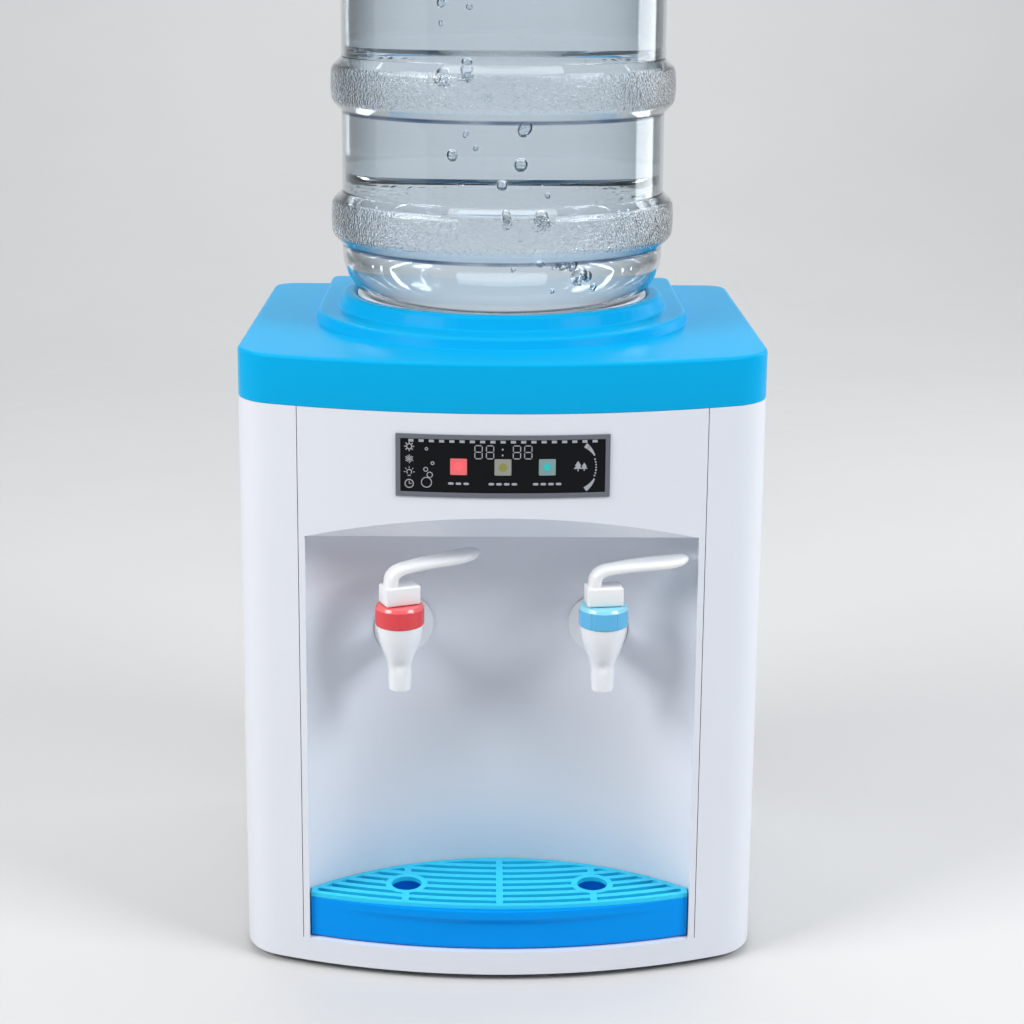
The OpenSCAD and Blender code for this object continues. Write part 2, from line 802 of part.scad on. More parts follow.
module drain_hose() color("snow")
    hose([
        [drain_x, 25, 73], [drain_x, 25, 70], [drain_x, 25, 66.5], [drain_x, 25.3, 60], [drain_x, 27.5, 53],
        [drain_x, 33, 46.8], [drain_x, 42, 43.4], [drain_x, 52, drain_z], [drain_x, 80, drain_z],
        [drain_x, 96, drain_z], [drain_x, 115, drain_z]
    ], [1, 0, 0]);

module drain_outlet() color("white") difference() {
    union() {
        y_cylinder(drain_x, 102, panel_y + 1, drain_z, port_r);
        y_cylinder(drain_x, panel_y - 6, panel_y, drain_z, 9);
        y_cylinder(drain_x, panel_y - 1, panel_y + 6, drain_z, 6);
    }
    y_cylinder(drain_x, 90, 140, drain_z, port_r - 1.2);
}

module drain_cap() color("white") difference() {
    y_cylinder(drain_x, panel_y + panel_t + 0.3, back_y - 0.3, drain_z, 9, 24);
    y_cylinder(drain_x, panel_y, panel_y + 6.3, drain_z, 6.1);
}

// Bush that the mains lead passes through
module cord_gland() color("black") difference() {
    union() {
        y_cylinder(gland_x, panel_y - 8, panel_y, gland_z, 9);
        y_cylinder(gland_x, panel_y - 1, panel_y + panel_t + 1, gland_z, 6.5);
        y_cylinder(gland_x, panel_y + panel_t, panel_y + panel_t + 4, gland_z, 8);
    }
    y_cylinder(gland_x, 110, 150, gland_z, gland_r);
}

module switch_housing(z) color("black") difference() {
    union() {
        box(switch_x - 7.5, switch_x + 7.5, 116, panel_y + 3, z - 10, z + 10);
        box(switch_x - 9, switch_x + 9, panel_y + panel_t, panel_y + panel_t + 1.6, z - 11.5, z + 11.5);
        for (k = [-5, 0, 5])
            box(switch_x - 2.4, switch_x + 2.4, 108, 117, z + k - 0.4, z + k + 0.4);
    }
    box(switch_x - 5.8, switch_x + 5.8, 122, 150, z - 8.8, z + 8.8);
    translate([switch_x - 7, rocker_y, z]) rotate([0, 90, 0]) cylinder(h = 14, r = 1.55);
}

// Two-sided key, tipped to its off side
module switch_rocker(z) translate([switch_x, rocker_y, z]) rotate([-10, 0, 0]) {
    rotate([90, 0, 90]) translate([0, 0, -5.5]) linear_extrude(11)
        polygon([[3.4, -7.6], [2.2, 0], [3.4, 7.6], [1, 8.2], [-3, 6], [-3, -6], [1, -8.2]]);
    rotate([0, 90, 0]) translate([0, 0, -6.8]) cylinder(h = 13.6, r = 1.5);
}

module switch_housings() {
    switch_housing(heat_z);
    switch_housing(cool_switch_z);
}
module heat_switch_rocker() color("red") switch_rocker(heat_z);
module cool_switch_rocker() color("green") switch_rocker(cool_switch_z);

// ---------- drip tray ----------

module drip_tray() color("dodgerblue") difference() {
    union() {
        translate([0, 0, bay_floor + 0.2]) linear_extrude(tray_top - bay_floor - 0.2)
            lens_plan(tray_gap, tray_inset);
        // roll along the front edge, deepest in the middle
        translate([0, 0, bead_z]) linear_extrude(tray_top - bead_z) lens_plan(tray_gap, tray_inset, bead_r);
    }
    translate([0, 0, bay_floor + 2.4]) linear_extrude(60)
        lens_plan(tray_gap + tray_wall, tray_inset + tray_wall);
}

module grille_slots() {
    intersection() {
        lens_plan(tray_gap + 3.4, tray_inset + 2.6);
        union() for (k = [0:7])
            translate([0, front_cy]) difference() {
                circle(r = front_r - tray_inset - 3 - k * slot_pitch, $fn = 180);
                circle(r = front_r - tray_inset - 3 - slot_w - k * slot_pitch, $fn = 180);
            }
    }
}

module drip_grille() color("turquoise") {
    z0 = tray_top + 0.1;
    translate([0, 0, z0]) linear_extrude(grille_t) difference() {
        lens_plan(tray_gap, tray_inset);
        difference() {
            grille_slots();
            translate([-rib_w / 2, cut_y]) square([rib_w, -cut_y]);
            for (s = [-1, 1]) {
                translate([s * cup_x, cup_y]) circle(r = cup_ring);
                translate([s * cup_x - rib_w / 2, cut_y]) square([rib_w, -cut_y]);
            }
        }
        for (s = [-1, 1])
            translate([s * cup_x, cup_y]) circle(r = cup_r);
    }
    // skirt that drops inside the tray
    translate([0, 0, z0 - 3]) linear_extrude(3.1) difference() {
        lens_plan(tray_gap + tray_wall + 0.4, tray_inset + tray_wall + 0.4);
        lens_plan(tray_gap + tray_wall + 1.6, tray_inset + tray_wall + 1.6);
    }
}

// ---------- taps ----------

module tap_body(x) translate([x, tap_y, 0]) difference() {
    union() {
        rotate_extrude($fn = 72)
            polygon([
                [0, spout_z], [6.3, spout_z], [6.8, spout_z + 14], [9.3, cap_z - 19.5], [10.9, cap_z - 14.5],
                [12.2, cap_z - 9], [12.9, cap_z - 3.5], [13.1, cap_z - 0.1], [11.8, cap_z - 0.1],
                [11.8, cap_z + collar_h], [0, cap_z + collar_h]
            ]);
        y_cylinder(0, 5, pad_y - tap_y, inlet_z, neck_r);
        y_cylinder(0, pad_y - tap_y - 1, thread_end - tap_y, inlet_z, thread_r);
        y_cylinder(0, thread_end - tap_y - 1, barb_end - tap_y, inlet_z, barb_r);
    }
    translate([0, 0, valve_z]) cylinder(h = 40, r = chamber_r);
    translate([0, 0, spout_z - 1]) cylinder(h = 30, r = outlet_r);
    y_cylinder(0, 0, 100, inlet_z, barb_r - 1.2);
}

module tap_cap(x) translate([x, tap_y, cap_z]) difference() {
    union() {
        cylinder(h = cap_h - 2.5, r = cap_r, $fn = 72);
        translate([0, 0, cap_h - 2.5]) cylinder(h = 2.5, r1 = cap_r, r2 = cap_r - 1.8, $fn = 72);
    }
    translate([0, 0, -1]) cylinder(h = cap_h - cap_roof + 1, r = 11.9);
    cylinder(h = cap_h + 1, r = stem_r + 0.3);
}

// Silicone plug that closes the outlet, with the skirt that keeps the water below the spring
module valve_seal(x) translate([x, tap_y, 0]) difference() {
    rotate_extrude()
        polygon([
            [0, valve_z - 1.6], [2.5, valve_z - 1.6], [4.2, valve_z + 0.05], [6.4, valve_z + 0.05],
            [6.4, valve_z + 2.4], [5.2, valve_z + 4], [5.2, skirt_z - 2.5], [7.8, skirt_z - 1.5],
            [7.8, skirt_z], [0, skirt_z]
        ]);
    translate([0, 0, stem_z - 0.1]) cylinder(h = 20, r = stem_r + stem_clear);
}

module valve_stem(x, yaw) translate([x, tap_y, 0]) difference() {
    translate([0, 0, stem_z]) cylinder(h = pin_z + 3 - stem_z, r = stem_r);
    rotate(yaw) pin_bar(20, pin_r + pin_clear);
}

// A bar through the lever pin's axis, for a lever that lies along +X
module pin_bar(length, r)
    rotate([90, 0, 0]) translate([0, pin_z, -length / 2]) cylinder(h = length, r = r);

module lever_pin(x, yaw) translate([x, tap_y, 0]) rotate(yaw) pin_bar(block_d - 1, pin_r);

// Coil between the plug's skirt and the cap's roof
module valve_spring(x) {
    turns = 4;
    steps = 14;
    sides = 6;
    n = turns * steps;
    z0 = skirt_z + wire_r + 0.05;
    rise = cap_z + cap_h - cap_roof - wire_r - 0.05 - z0;
    pts = [for (i = [0:n], k = [0:sides - 1])
        let (a = 360 * i / steps, b = 360 * k / sides, r = coil_r + wire_r * cos(b))
        [x + r * cos(a), tap_y + r * sin(a), z0 + rise * i / n + wire_r * sin(b)]];
    polyhedron(
        points = pts,
        faces = concat(
            [[for (k = [0:sides - 1]) k]],
            [[for (k = [sides - 1:-1:0]) n * sides + k]],
            [for (i = [0:n - 1], k = [0:sides - 1]) let (a = i * sides, b = a + sides, next = (k + 1) % sides)
                [a + k, b + k, b + next, a + next]]
        ),
        convexity = 8
    );
}

// A lever along +X over a tap at the origin: cam block, rising arm and paddle
module lever_shape() {
    z0 = cap_z + cap_h + 0.2;
    z1 = z0 + block_h;
    stations = [
        // x, z, radius, half width
        [-5.2, z1 - 3.7, 3.6, 5.7],
        [-4.4, z1 + 6, 3.3, 5.7],
        [5.5, z1 + 9.3, 2.9, 6.4],
        [20, z1 + 11.2, 2.9, 8.4],
        [36, z1 + 12.2, 2.9, 9.2],
        [46.2, z1 + 14.4, 1.8, 6.2]
    ];
    difference() {
        union() {
            translate([-block_w / 2, -block_d / 2, z0]) cube([block_w, block_d, block_h]);
            for (i = [0:len(stations) - 2])
                hull()
                    for (s = [stations[i], stations[i + 1]])
                        translate([s[0], s[3], s[1]]) rotate([90, 0, 0])
                            cylinder(h = 2 * s[3], r = s[2], $fn = 20);
        }
        translate([-7, -stem_r - 0.3, z0 - 1]) cube([14, 2 * stem_r + 0.6, block_h - 1.2]);
        pin_bar(40, pin_r + pin_clear);
    }
}

module tap_flange(side) color("white") difference() {
    on_wall(side) cylinder(h = flange_t, r = flange_r, $fn = 72);
    y_cylinder(side * tap_x, -100, -60, inlet_z, neck_r + 0.1);
}

module tap_nut(x) color("white") difference() {
    y_cylinder(x, boss_back, boss_back + 7, inlet_z, 13.8, 6);
    y_cylinder(x, -100, -40, inlet_z, thread_r + 0.1);
}

module tap_flanges() { tap_flange(-1); tap_flange(1); }
module tap_nuts() { tap_nut(-tap_x); tap_nut(tap_x); }

module hot_tap_body() color("white") tap_body(-tap_x);
module hot_tap_cap() color("crimson") tap_cap(-tap_x);
module hot_seal() color("gainsboro") valve_seal(-tap_x);
module hot_spring() color("silver") valve_spring(-tap_x);
module hot_stem() color("whitesmoke") valve_stem(-tap_x, hot_yaw);
module hot_pin() color("silver") lever_pin(-tap_x, hot_yaw);
module hot_lever() color("white") translate([-tap_x, tap_y, 0]) rotate(hot_yaw) lever_shape();
module cold_tap_body() color("white") tap_body(tap_x);
module cold_tap_cap() color("skyblue") tap_cap(tap_x);
module cold_seal() color("gainsboro") valve_seal(tap_x);
module cold_spring() color("silver") valve_spring(tap_x);
module cold_stem() color("whitesmoke") valve_stem(tap_x, cold_yaw);
module cold_pin() color("silver") lever_pin(tap_x, cold_yaw);
module cold_lever() color("white") translate([tap_x, tap_y, 0]) rotate(cold_yaw) lever_shape();

outer_shell();
front_fascia();
top_cover();
rear_panel();
base_pan();
feet();
base_screws();
rear_panel_screws();
bottle_seat();
seat_gasket();
feed_probe();
reservoir();
reservoir_foam();
hot_tank();
heater_band();
hot_tank_jacket();
thermostats();
cold_plate();
peltier_module();
heatsink();
fan_frame();
fan_rotor();
power_board();
transformer();
display_board();
indicator_leds();
display_bezel();
display_panel();
indicator_windows();
hot_hose();
cold_hose();
supply_hose();
drain_hose();
drain_outlet();
drain_cap();
cord_gland();
switch_housings();
heat_switch_rocker();
cool_switch_rocker();
drip_tray();
drip_grille();
bottle();
bottle_cap();
tap_flanges();
tap_nuts();
hot_tap_body();
hot_tap_cap();
hot_seal();
hot_spring();
hot_stem();
hot_pin();
hot_lever();
cold_tap_body();
cold_tap_cap();
cold_seal();
cold_spring();
cold_stem();
cold_pin();
cold_lever();
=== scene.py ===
import json
import math

import bmesh
import bpy
import random
from mathutils import Matrix, Vector


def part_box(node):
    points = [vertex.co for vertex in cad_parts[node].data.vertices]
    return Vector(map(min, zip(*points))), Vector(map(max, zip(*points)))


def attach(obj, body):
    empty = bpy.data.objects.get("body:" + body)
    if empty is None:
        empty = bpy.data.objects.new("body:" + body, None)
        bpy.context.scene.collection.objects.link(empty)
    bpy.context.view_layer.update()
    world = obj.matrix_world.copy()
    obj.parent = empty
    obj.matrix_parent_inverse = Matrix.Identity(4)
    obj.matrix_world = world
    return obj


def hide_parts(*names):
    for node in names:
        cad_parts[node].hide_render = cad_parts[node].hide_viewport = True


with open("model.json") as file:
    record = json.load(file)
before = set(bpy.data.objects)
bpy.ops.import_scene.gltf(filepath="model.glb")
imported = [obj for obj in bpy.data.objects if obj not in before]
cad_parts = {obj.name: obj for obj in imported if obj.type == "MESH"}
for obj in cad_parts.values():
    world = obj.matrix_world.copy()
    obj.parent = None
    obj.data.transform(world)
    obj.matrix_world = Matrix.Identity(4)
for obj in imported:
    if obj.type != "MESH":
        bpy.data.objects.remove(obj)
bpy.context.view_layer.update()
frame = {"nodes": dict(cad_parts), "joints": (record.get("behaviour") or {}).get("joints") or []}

# Shapes are written in millimetres, in the CAD model's frame, and scaled to metres as each mesh is made.
MM = 0.001
random.seed(7)


# ---------- places that the frame gives ----------

def mm_box(node):
    low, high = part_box(node)
    return low / MM, high / MM


def centre_of(node):
    low, high = mm_box(node)
    return (low + high) / 2


SHELL_LOW, SHELL_HIGH = mm_box("outer_shell")
COVER_TOP = mm_box("top_cover")[1].z
BOTTLE_LOW, BOTTLE_HIGH = mm_box("bottle")
TRAY_LOW, TRAY_HIGH = mm_box("drip_tray")
SEAT_Y = centre_of("bottle").y
HALF_WIDTH = SHELL_HIGH.x
FRONT_Y = SHELL_LOW.y
BACK_Y = SHELL_HIGH.y
SHELL_TOP = SHELL_HIGH.z

# The cabinet's plan
FRONT_R = 363
CORNER_R = 31.5
BACK_R = 14
WALL = 3
FRONT_CY = FRONT_Y + FRONT_R
CORNER_X = HALF_WIDTH - CORNER_R
CORNER_Y = FRONT_CY - math.sqrt((FRONT_R - CORNER_R) ** 2 - CORNER_X ** 2)
CORNER_ANGLE = math.degrees(math.asin(CORNER_X / (FRONT_R - CORNER_R)))

# The tap bay's plan
BAY_X = 110.5
BAY_R = 170
BAY_BACK = -69.5
BAY_CY = BAY_BACK - BAY_R

# The cover's plinth and ring
PLINTH_R = 113
PLINTH_CY = 14.5
PLINTH_BACK = 133
PLINTH_CORNER = 6
RING_H = 8.5
PLINTH_H = 6
DECK_Z = COVER_TOP - RING_H - PLINTH_H
PLINTH_TOP = DECK_Z + PLINTH_H


# ---------- points and profiles ----------

def arc(cx, cy, r, start, end, steps):
    """Points on an arc, with angles in degrees."""
    angles = [math.radians(start + (end - start) * i / steps) for i in range(steps + 1)]
    return [(cx + r * math.cos(a), cy + r * math.sin(a)) for a in angles]


def front_y(x, inset=0):
    """Y of the cabinet's bulged front at x."""
    return FRONT_CY - math.sqrt((FRONT_R - inset) ** 2 - x * x)


def bay_wall_y(x, gap=0):
    """Y of the bay's concave back wall at x."""
    return BAY_CY + math.sqrt((BAY_R - gap) ** 2 - x * x)


def cabinet_plan(inset=0):
    """The cabinet's outline, seen from above and moved inwards by `inset`."""
    bx, by = HALF_WIDTH - BACK_R, BACK_Y - BACK_R
    r = CORNER_R - inset
    return (
        arc(0, FRONT_CY, FRONT_R - inset, 270 - CORNER_ANGLE, 270 + CORNER_ANGLE, 60)
        + arc(CORNER_X, CORNER_Y, r, 270 + CORNER_ANGLE, 360, 16)[1:]
        + arc(bx, by, BACK_R - inset, 0, 90, 12)
        + arc(-bx, by, BACK_R - inset, 90, 180, 12)
        + arc(-CORNER_X, CORNER_Y, r, 180, 270 - CORNER_ANGLE, 16)[:-1]
    )


def plinth_plan(inset=0):
    """The plinth's outline: round in front, straight at the sides, square at the back."""
    r, cr = PLINTH_R - inset, PLINTH_CORNER - inset / 2
    x, y = PLINTH_R - PLINTH_CORNER - inset / 2, PLINTH_BACK - PLINTH_CORNER - inset / 2
    return arc(0, PLINTH_CY, r, 180, 360, 90) + arc(x, y, cr, 0, 90, 8) + arc(-x, y, cr, 90, 180, 8)


def circle_plan(r):
    return arc(0, SEAT_Y, r, 0, 355, 71)


def fillets(corners, steps=5):
    """A path through (a, b, radius) corners, each rounded to its radius."""
    path = []
    for i, (a, b, r) in enumerate(corners):
        here = Vector((a, b))
        if r <= 0 or i in (0, len(corners) - 1):
            path.append((a, b))
            continue
        back = Vector(corners[i - 1][:2]) - here
        on = Vector(corners[i + 1][:2]) - here
        half = back.angle(on) / 2
        reach = min(r / math.tan(half), back.length * 0.49, on.length * 0.49)
        r = reach * math.tan(half)
        p, q = here + back.normalized() * reach, here + on.normalized() * reach
        centre = here + (back.normalized() + on.normalized()).normalized() * (r / math.sin(half))
        u, v = p - centre, q - centre
        turn = u.angle_signed(v)
        for k in range(steps + 1):
            w = u.copy()
            w.rotate(Matrix.Rotation(-turn * k / steps, 2))
            path.append(tuple(centre + w))
    return path


def spline(points, steps):
    """A smooth path through points of any number of values."""
    out = []
    for i in range(len(points) - 1):
        a, b = points[max(i - 1, 0)], points[i]
        c, d = points[i + 1], points[min(i + 2, len(points) - 1)]
        for k in range(steps):
            t = k / steps
            out.append(tuple(
                0.5 * (2 * q + (r - p) * t + (2 * p - 5 * q + 4 * r - s) * t * t
                       + (3 * q - p - 3 * r + s) * t ** 3)
                for p, q, r, s in zip(a, b, c, d)
            ))
    out.append(tuple(points[-1]))
    return out


# ---------- meshes ----------

def make_piece(name, verts, faces, material, body, replaces=(), sharp=35):
    """A mesh piece from points in millimetres. Edges sharper than `sharp` degrees stay hard."""
    mesh = bpy.data.meshes.new(name)
    mesh.from_pydata([Vector(v) * MM for v in verts], [], faces)
    bm = bmesh.new()
    bm.from_mesh(mesh)
    bmesh.ops.remove_doubles(bm, verts=bm.verts, dist=1e-6)
    bmesh.ops.recalc_face_normals(bm, faces=bm.faces)
    bm.to_mesh(mesh)
    bm.free()
    mesh.shade_smooth()
    mesh.set_sharp_from_angle(angle=math.radians(sharp))
    mesh.materials.append(material)
    piece = bpy.data.objects.new(name, mesh)
    bpy.context.scene.collection.objects.link(piece)
    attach(piece, body)
    if replaces:
        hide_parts(*replaces)
    return piece


class Shape:
    """Points and faces that are gathered before they become one piece."""

    def __init__(self):
        self.verts = []
        self.faces = []

    def add(self, verts, faces, place=None):
        base = len(self.verts)
        self.verts += [place @ Vector(v) if place else Vector(v) for v in verts]
        self.faces += [[base + i for i in f] for f in faces]
        return self

    def loft(self, rings, cap_start=True, cap_end=True, wrap=False, place=None):
        """Skins rings of the same number of points."""
        n, m = len(rings[0]), len(rings)
        faces = []
        for i in range(m if wrap else m - 1):
            a, b = i * n, (i + 1) % m * n
            faces += [[a + k, a + (k + 1) % n, b + (k + 1) % n, b + k] for k in range(n)]
        if cap_start and not wrap:
            faces.append(list(range(n))[::-1])
        if cap_end and not wrap:
            faces.append([(m - 1) * n + k for k in range(n)])
        return self.add([p for ring in rings for p in ring], faces, place)

    def lathe(self, profile, segments=96, place=None, radius=None, wrap=False):
        """Turns (r, z) points about the Z axis. `radius` can change a point's radius by its angle."""
        rings = []
        for r, z in profile:
            turn = [math.tau * k / segments for k in range(segments)]
            radii = [radius(r, z, a) if radius else r for a in turn]
            rings.append([(q * math.cos(a), q * math.sin(a), z) for q, a in zip(radii, turn)])
        return self.loft(rings, wrap=wrap, place=place)

    def rounded_box(self, low, high, r, place=None, steps=4):
        """A box with rounded edges."""
        (x0, y0, z0), (x1, y1, z1) = low, high

        def outline(inset):
            cr = max(r - inset, 0.01)
            xa, xb, ya, yb = x0 + inset + cr, x1 - inset - cr, y0 + inset + cr, y1 - inset - cr
            return (arc(xb, yb, cr, 0, 90, steps) + arc(xa, yb, cr, 90, 180, steps)
                    + arc(xa, ya, cr, 180, 270, steps) + arc(xb, ya, cr, 270, 360, steps))

        rings = []
        for side, z_edge in ((-1, z0), (1, z1)):
            for k in range(steps + 1):
                a = math.pi / 2 * (k if side < 0 else steps - k) / steps
                inset, z = r * (1 - math.sin(a)), z_edge - side * r * (1 - math.cos(a))
                rings.append([(x, y, z) for x, y in outline(inset)])
        return self.loft(rings, place=place)

    def piece(self, name, material, body, slot, replaces=(), sharp=35):
        return make_piece(name, self.verts, self.faces, material, body, replaces, sharp)


def moved(x, y, z):
    return Matrix.Translation((x, y, z))


def along_y(x, y, z):
    """Takes a lathe's +Z axis to +Y."""
    return moved(x, y, z) @ Matrix.Rotation(-math.pi / 2, 4, "X")


def round_edges(node, width, segments=3, angle=30):
    """Gives a CAD node's edges a moulded radius."""
    piece = frame["nodes"][node]
    mesh = piece.data
    for attribute in ("custom_normal", "sharp_edge", "sharp_face"):
        if attribute in mesh.attributes:
            mesh.attributes.remove(mesh.attributes[attribute])
    mesh.shade_smooth()
    weld = piece.modifiers.new("weld", "WELD")
    weld.merge_threshold = 2e-6
    bevel = piece.modifiers.new("edges", "BEVEL")
    bevel.width = width * MM
    bevel.segments = segments
    bevel.limit_method = "ANGLE"
    bevel.angle_limit = math.radians(angle)
    bevel.harden_normals = True
    return piece


# ---------- materials ----------

class Nodes:
    """A node material with a Principled shader."""

    def __init__(self, name):
        self.material = bpy.data.materials.new(name)
        self.material.use_nodes = True
        self.tree = self.material.node_tree
        self.shader = self.tree.nodes["Principled BSDF"]
        self.coords = self.add("ShaderNodeTexCoord").outputs["Object"]

    def add(self, kind, **settings):
        node = self.tree.nodes.new(kind)
        for key, value in settings.items():
            if hasattr(node, key):
                setattr(node, key, value)
            else:
                node.inputs[key].default_value = value
        return node

    def link(self, source, target):
        self.tree.links.new(source, target)

    def set(self, **values):
        for key, value in values.items():
            self.shader.inputs[key.replace("_", " ")].default_value = value

    def noise(self, scale, detail=3.0, roughness=0.5, stretch=None):
        node = self.add("ShaderNodeTexNoise")
        node.inputs["Scale"].default_value = scale
        node.inputs["Detail"].default_value = detail
        node.inputs["Roughness"].default_value = roughness
        source = self.coords
        if stretch:
            mapping = self.add("ShaderNodeMapping")
            mapping.inputs["Scale"].default_value = stretch
            self.link(source, mapping.inputs["Vector"])
            source = mapping.outputs["Vector"]
        self.link(source, node.inputs["Vector"])
        return node.outputs["Fac"]

    def ramp(self, source, low, high):
        """Maps 0.3 to 0.7 of the source onto low to high."""
        node = self.add("ShaderNodeMapRange")
        node.inputs["From Min"].default_value = 0.3
        node.inputs["From Max"].default_value = 0.7
        node.inputs["To Min"].default_value = low
        node.inputs["To Max"].default_value = high
        self.link(source, node.inputs["Value"])
        return node.outputs["Result"]

    def vary_colour(self, colour, spread, scale, stretch=None):
        """The base colour, a little lighter and darker in soft patches."""
        mix = self.add("ShaderNodeMix", data_type="RGBA")
        dark = [c * (1 - spread) for c in colour[:3]] + [1]
        light = [min(c * (1 + spread), 1) for c in colour[:3]] + [1]
        mix.inputs[6].default_value = dark
        mix.inputs[7].default_value = light
        self.link(self.ramp(self.noise(scale, stretch=stretch), 0, 1), mix.inputs[0])
        self.link(mix.outputs[2], self.shader.inputs["Base Color"])

    def vary_roughness(self, low, high, scale, stretch=None):
        uneven = self.noise(scale, 4, stretch=stretch)
        self.link(self.ramp(uneven, low, high), self.shader.inputs["Roughness"])

    def bump(self, height, strength, depth):
        node = self.add("ShaderNodeBump")
        node.inputs["Strength"].default_value = strength
        node.inputs["Distance"].default_value = depth
        self.link(height, node.inputs["Height"])
        self.link(node.outputs["Normal"], self.shader.inputs["Normal"])


def moulded(name, colour, roughness=0.25, coat=0.0, spread=0.006, grain=420, grain_depth=0.00001,
            glow=0.0, specular=0.5):
    """Moulded plastic: a faint mottle in the colour, an uneven polish and a fine grain."""
    m = Nodes(name)
    m.vary_colour(colour, spread, 9)
    m.vary_roughness(roughness * 0.94, roughness * 1.08, 30)
    m.bump(m.noise(grain, 2), 0.35, grain_depth)
    m.set(IOR=1.5, Specular_IOR_Level=specular)
    if coat:
        m.set(Coat_Weight=coat, Coat_Roughness=0.06, Coat_IOR=1.5)
    if glow:
        m.set(Emission_Color=(*colour[:3], 1), Emission_Strength=glow)
    return m.material


def metal(name, colour, roughness=0.3, brushed=None):
    """Metal with a fine brushed grain along one axis."""
    m = Nodes(name)
    m.vary_colour(colour, 0.06, 60, brushed)
    m.vary_roughness(roughness * 0.8, roughness * 1.25, 400, brushed)
    m.bump(m.noise(1500, 2, stretch=brushed), 0.3, 0.00002)
    m.set(Metallic=1.0)
    return m.material


def rubbery(name, colour, roughness=0.75):
    """Rubber or silicone: matt, with a soft sheen and a pitted skin."""
    m = Nodes(name)
    m.vary_colour(colour, 0.08, 40)
    m.vary_roughness(roughness * 0.9, min(roughness * 1.1, 1), 120)
    m.bump(m.noise(1800, 3), 0.5, 0.00004)
    m.set(Sheen_Weight=0.1, Sheen_Roughness=0.5)
    return m.material


def foamy(name, colour):
    """Expanded foam with a beaded surface."""
    m = Nodes(name)
    cells = m.add("ShaderNodeTexVoronoi")
    cells.inputs["Scale"].default_value = 350
    m.link(m.coords, cells.inputs["Vector"])
    m.vary_colour(colour, 0.06, 200)
    m.vary_roughness(0.85, 0.98, 80)
    m.bump(cells.outputs["Distance"], 0.6, 0.0003)
    return m.material


def near_heights(m, heights, reach, soft):
    """1 within `reach` of any of the heights, falling to 0 over `soft`, both in millimetres."""
    split = m.add("ShaderNodeSeparateXYZ")
    m.link(m.coords, split.inputs["Vector"])
    total = None
    for z in heights:
        away = m.add("ShaderNodeMath", operation="SUBTRACT")
        away.inputs[1].default_value = z * MM
        m.link(split.outputs["Z"], away.inputs[0])
        size = m.add("ShaderNodeMath", operation="ABSOLUTE")
        m.link(away.outputs[0], size.inputs[0])
        fade = m.add("ShaderNodeMapRange", interpolation_type="SMOOTHSTEP")
        fade.inputs["From Min"].default_value = (reach + soft) * MM
        fade.inputs["From Max"].default_value = reach * MM
        m.link(size.outputs[0], fade.inputs["Value"])
        if total is None:
            total = fade.outputs["Result"]
            continue
        both = m.add("ShaderNodeMath", operation="MAXIMUM")
        m.link(total, both.inputs[0])
        m.link(fade.outputs["Result"], both.inputs[1])
        total = both.outputs[0]
    return total


def clear_bottle():
    """Blue-tinted clear plastic, pebbled on its ribs, with a dark band painted under each rib in place of
    the dark reflection at the rib's edge.
    """
    m = Nodes("bottle_plastic")
    pebble = m.add("ShaderNodeMath", operation="MULTIPLY")
    m.link(near_heights(m, RIB_Z, RIB_FLAT / 2 + 1, 2), pebble.inputs[0])
    m.link(m.noise(780, 0.5), pebble.inputs[1])
    m.bump(pebble.outputs[0], 0.8, 0.0006)
    tint = m.add("ShaderNodeMix", data_type="RGBA")
    tint.inputs[6].default_value = (0.91, 0.955, 0.99, 1)
    tint.inputs[7].default_value = (0.10, 0.16, 0.30, 1)
    # painted dark reflection: a dark band just under each rib, broken into patches
    painted_dark_bands = near_heights(m, [z - RIB_H / 2 - PAINTED_BAND_DROP for z in RIB_Z], 0.7, 1.0)
    patches = m.add("ShaderNodeMath", operation="MULTIPLY")
    m.link(painted_dark_bands, patches.inputs[0])
    m.link(m.ramp(m.noise(26, 1, stretch=(1, 1, 0.1)), 0.35, 1.0), patches.inputs[1])
    m.link(patches.outputs[0], tint.inputs[0])
    m.link(tint.outputs[2], m.shader.inputs["Base Color"])
    m.vary_roughness(0.01, 0.03, 40)
    m.set(IOR=1.46, Transmission_Weight=1.0)
    return m.material


def clear_water():
    """Water with the faintest blue."""
    m = Nodes("water")
    m.vary_colour((0.93, 0.965, 0.99), 0.01, 8)
    m.bump(m.noise(14, 1), 0.1, 0.0003)
    m.set(Roughness=0.0, IOR=1.33, Transmission_Weight=1.0)
    return m.material


def air_in_water():
    """Air seen from inside the water: its rim turns dark by total reflection."""
    m = Nodes("air_bubble")
    m.vary_colour((0.90, 0.94, 0.985), 0.02, 60)
    m.set(Roughness=0.0, IOR=0.75, Transmission_Weight=1.0)
    return m.material


# ---------- cover ----------

def rays_from_seat(outlines):
    """Directions from the bottle's axis through every corner of the outlines."""
    found = {round(math.degrees(math.atan2(y - SEAT_Y, x)) % 360, 2) for o in outlines for x, y in o}
    found |= {float(a) for a in range(0, 360, 3)}
    angles = []
    for a in sorted(found):
        if not angles or a - angles[-1] > 0.25:
            angles.append(a)
    return [Vector((math.cos(math.radians(a)), math.sin(math.radians(a)))) for a in angles]


def meet(outline, ray):
    """Where a ray from the bottle's axis leaves an outline."""
    seat = Vector((0, SEAT_Y))
    best = 0.0
    for i, a in enumerate(outline):
        a, b = Vector(a) - seat, Vector(outline[(i + 1) % len(outline)]) - seat
        edge = b - a
        cross = ray.x * edge.y - ray.y * edge.x
        if abs(cross) < 1e-12:
            continue
        along = (a.x * edge.y - a.y * edge.x) / cross
        part = (a.x * ray.y - a.y * ray.x) / cross
        if -1e-6 <= part <= 1 + 1e-6 and along > best:
            best = along
    return seat + ray * best


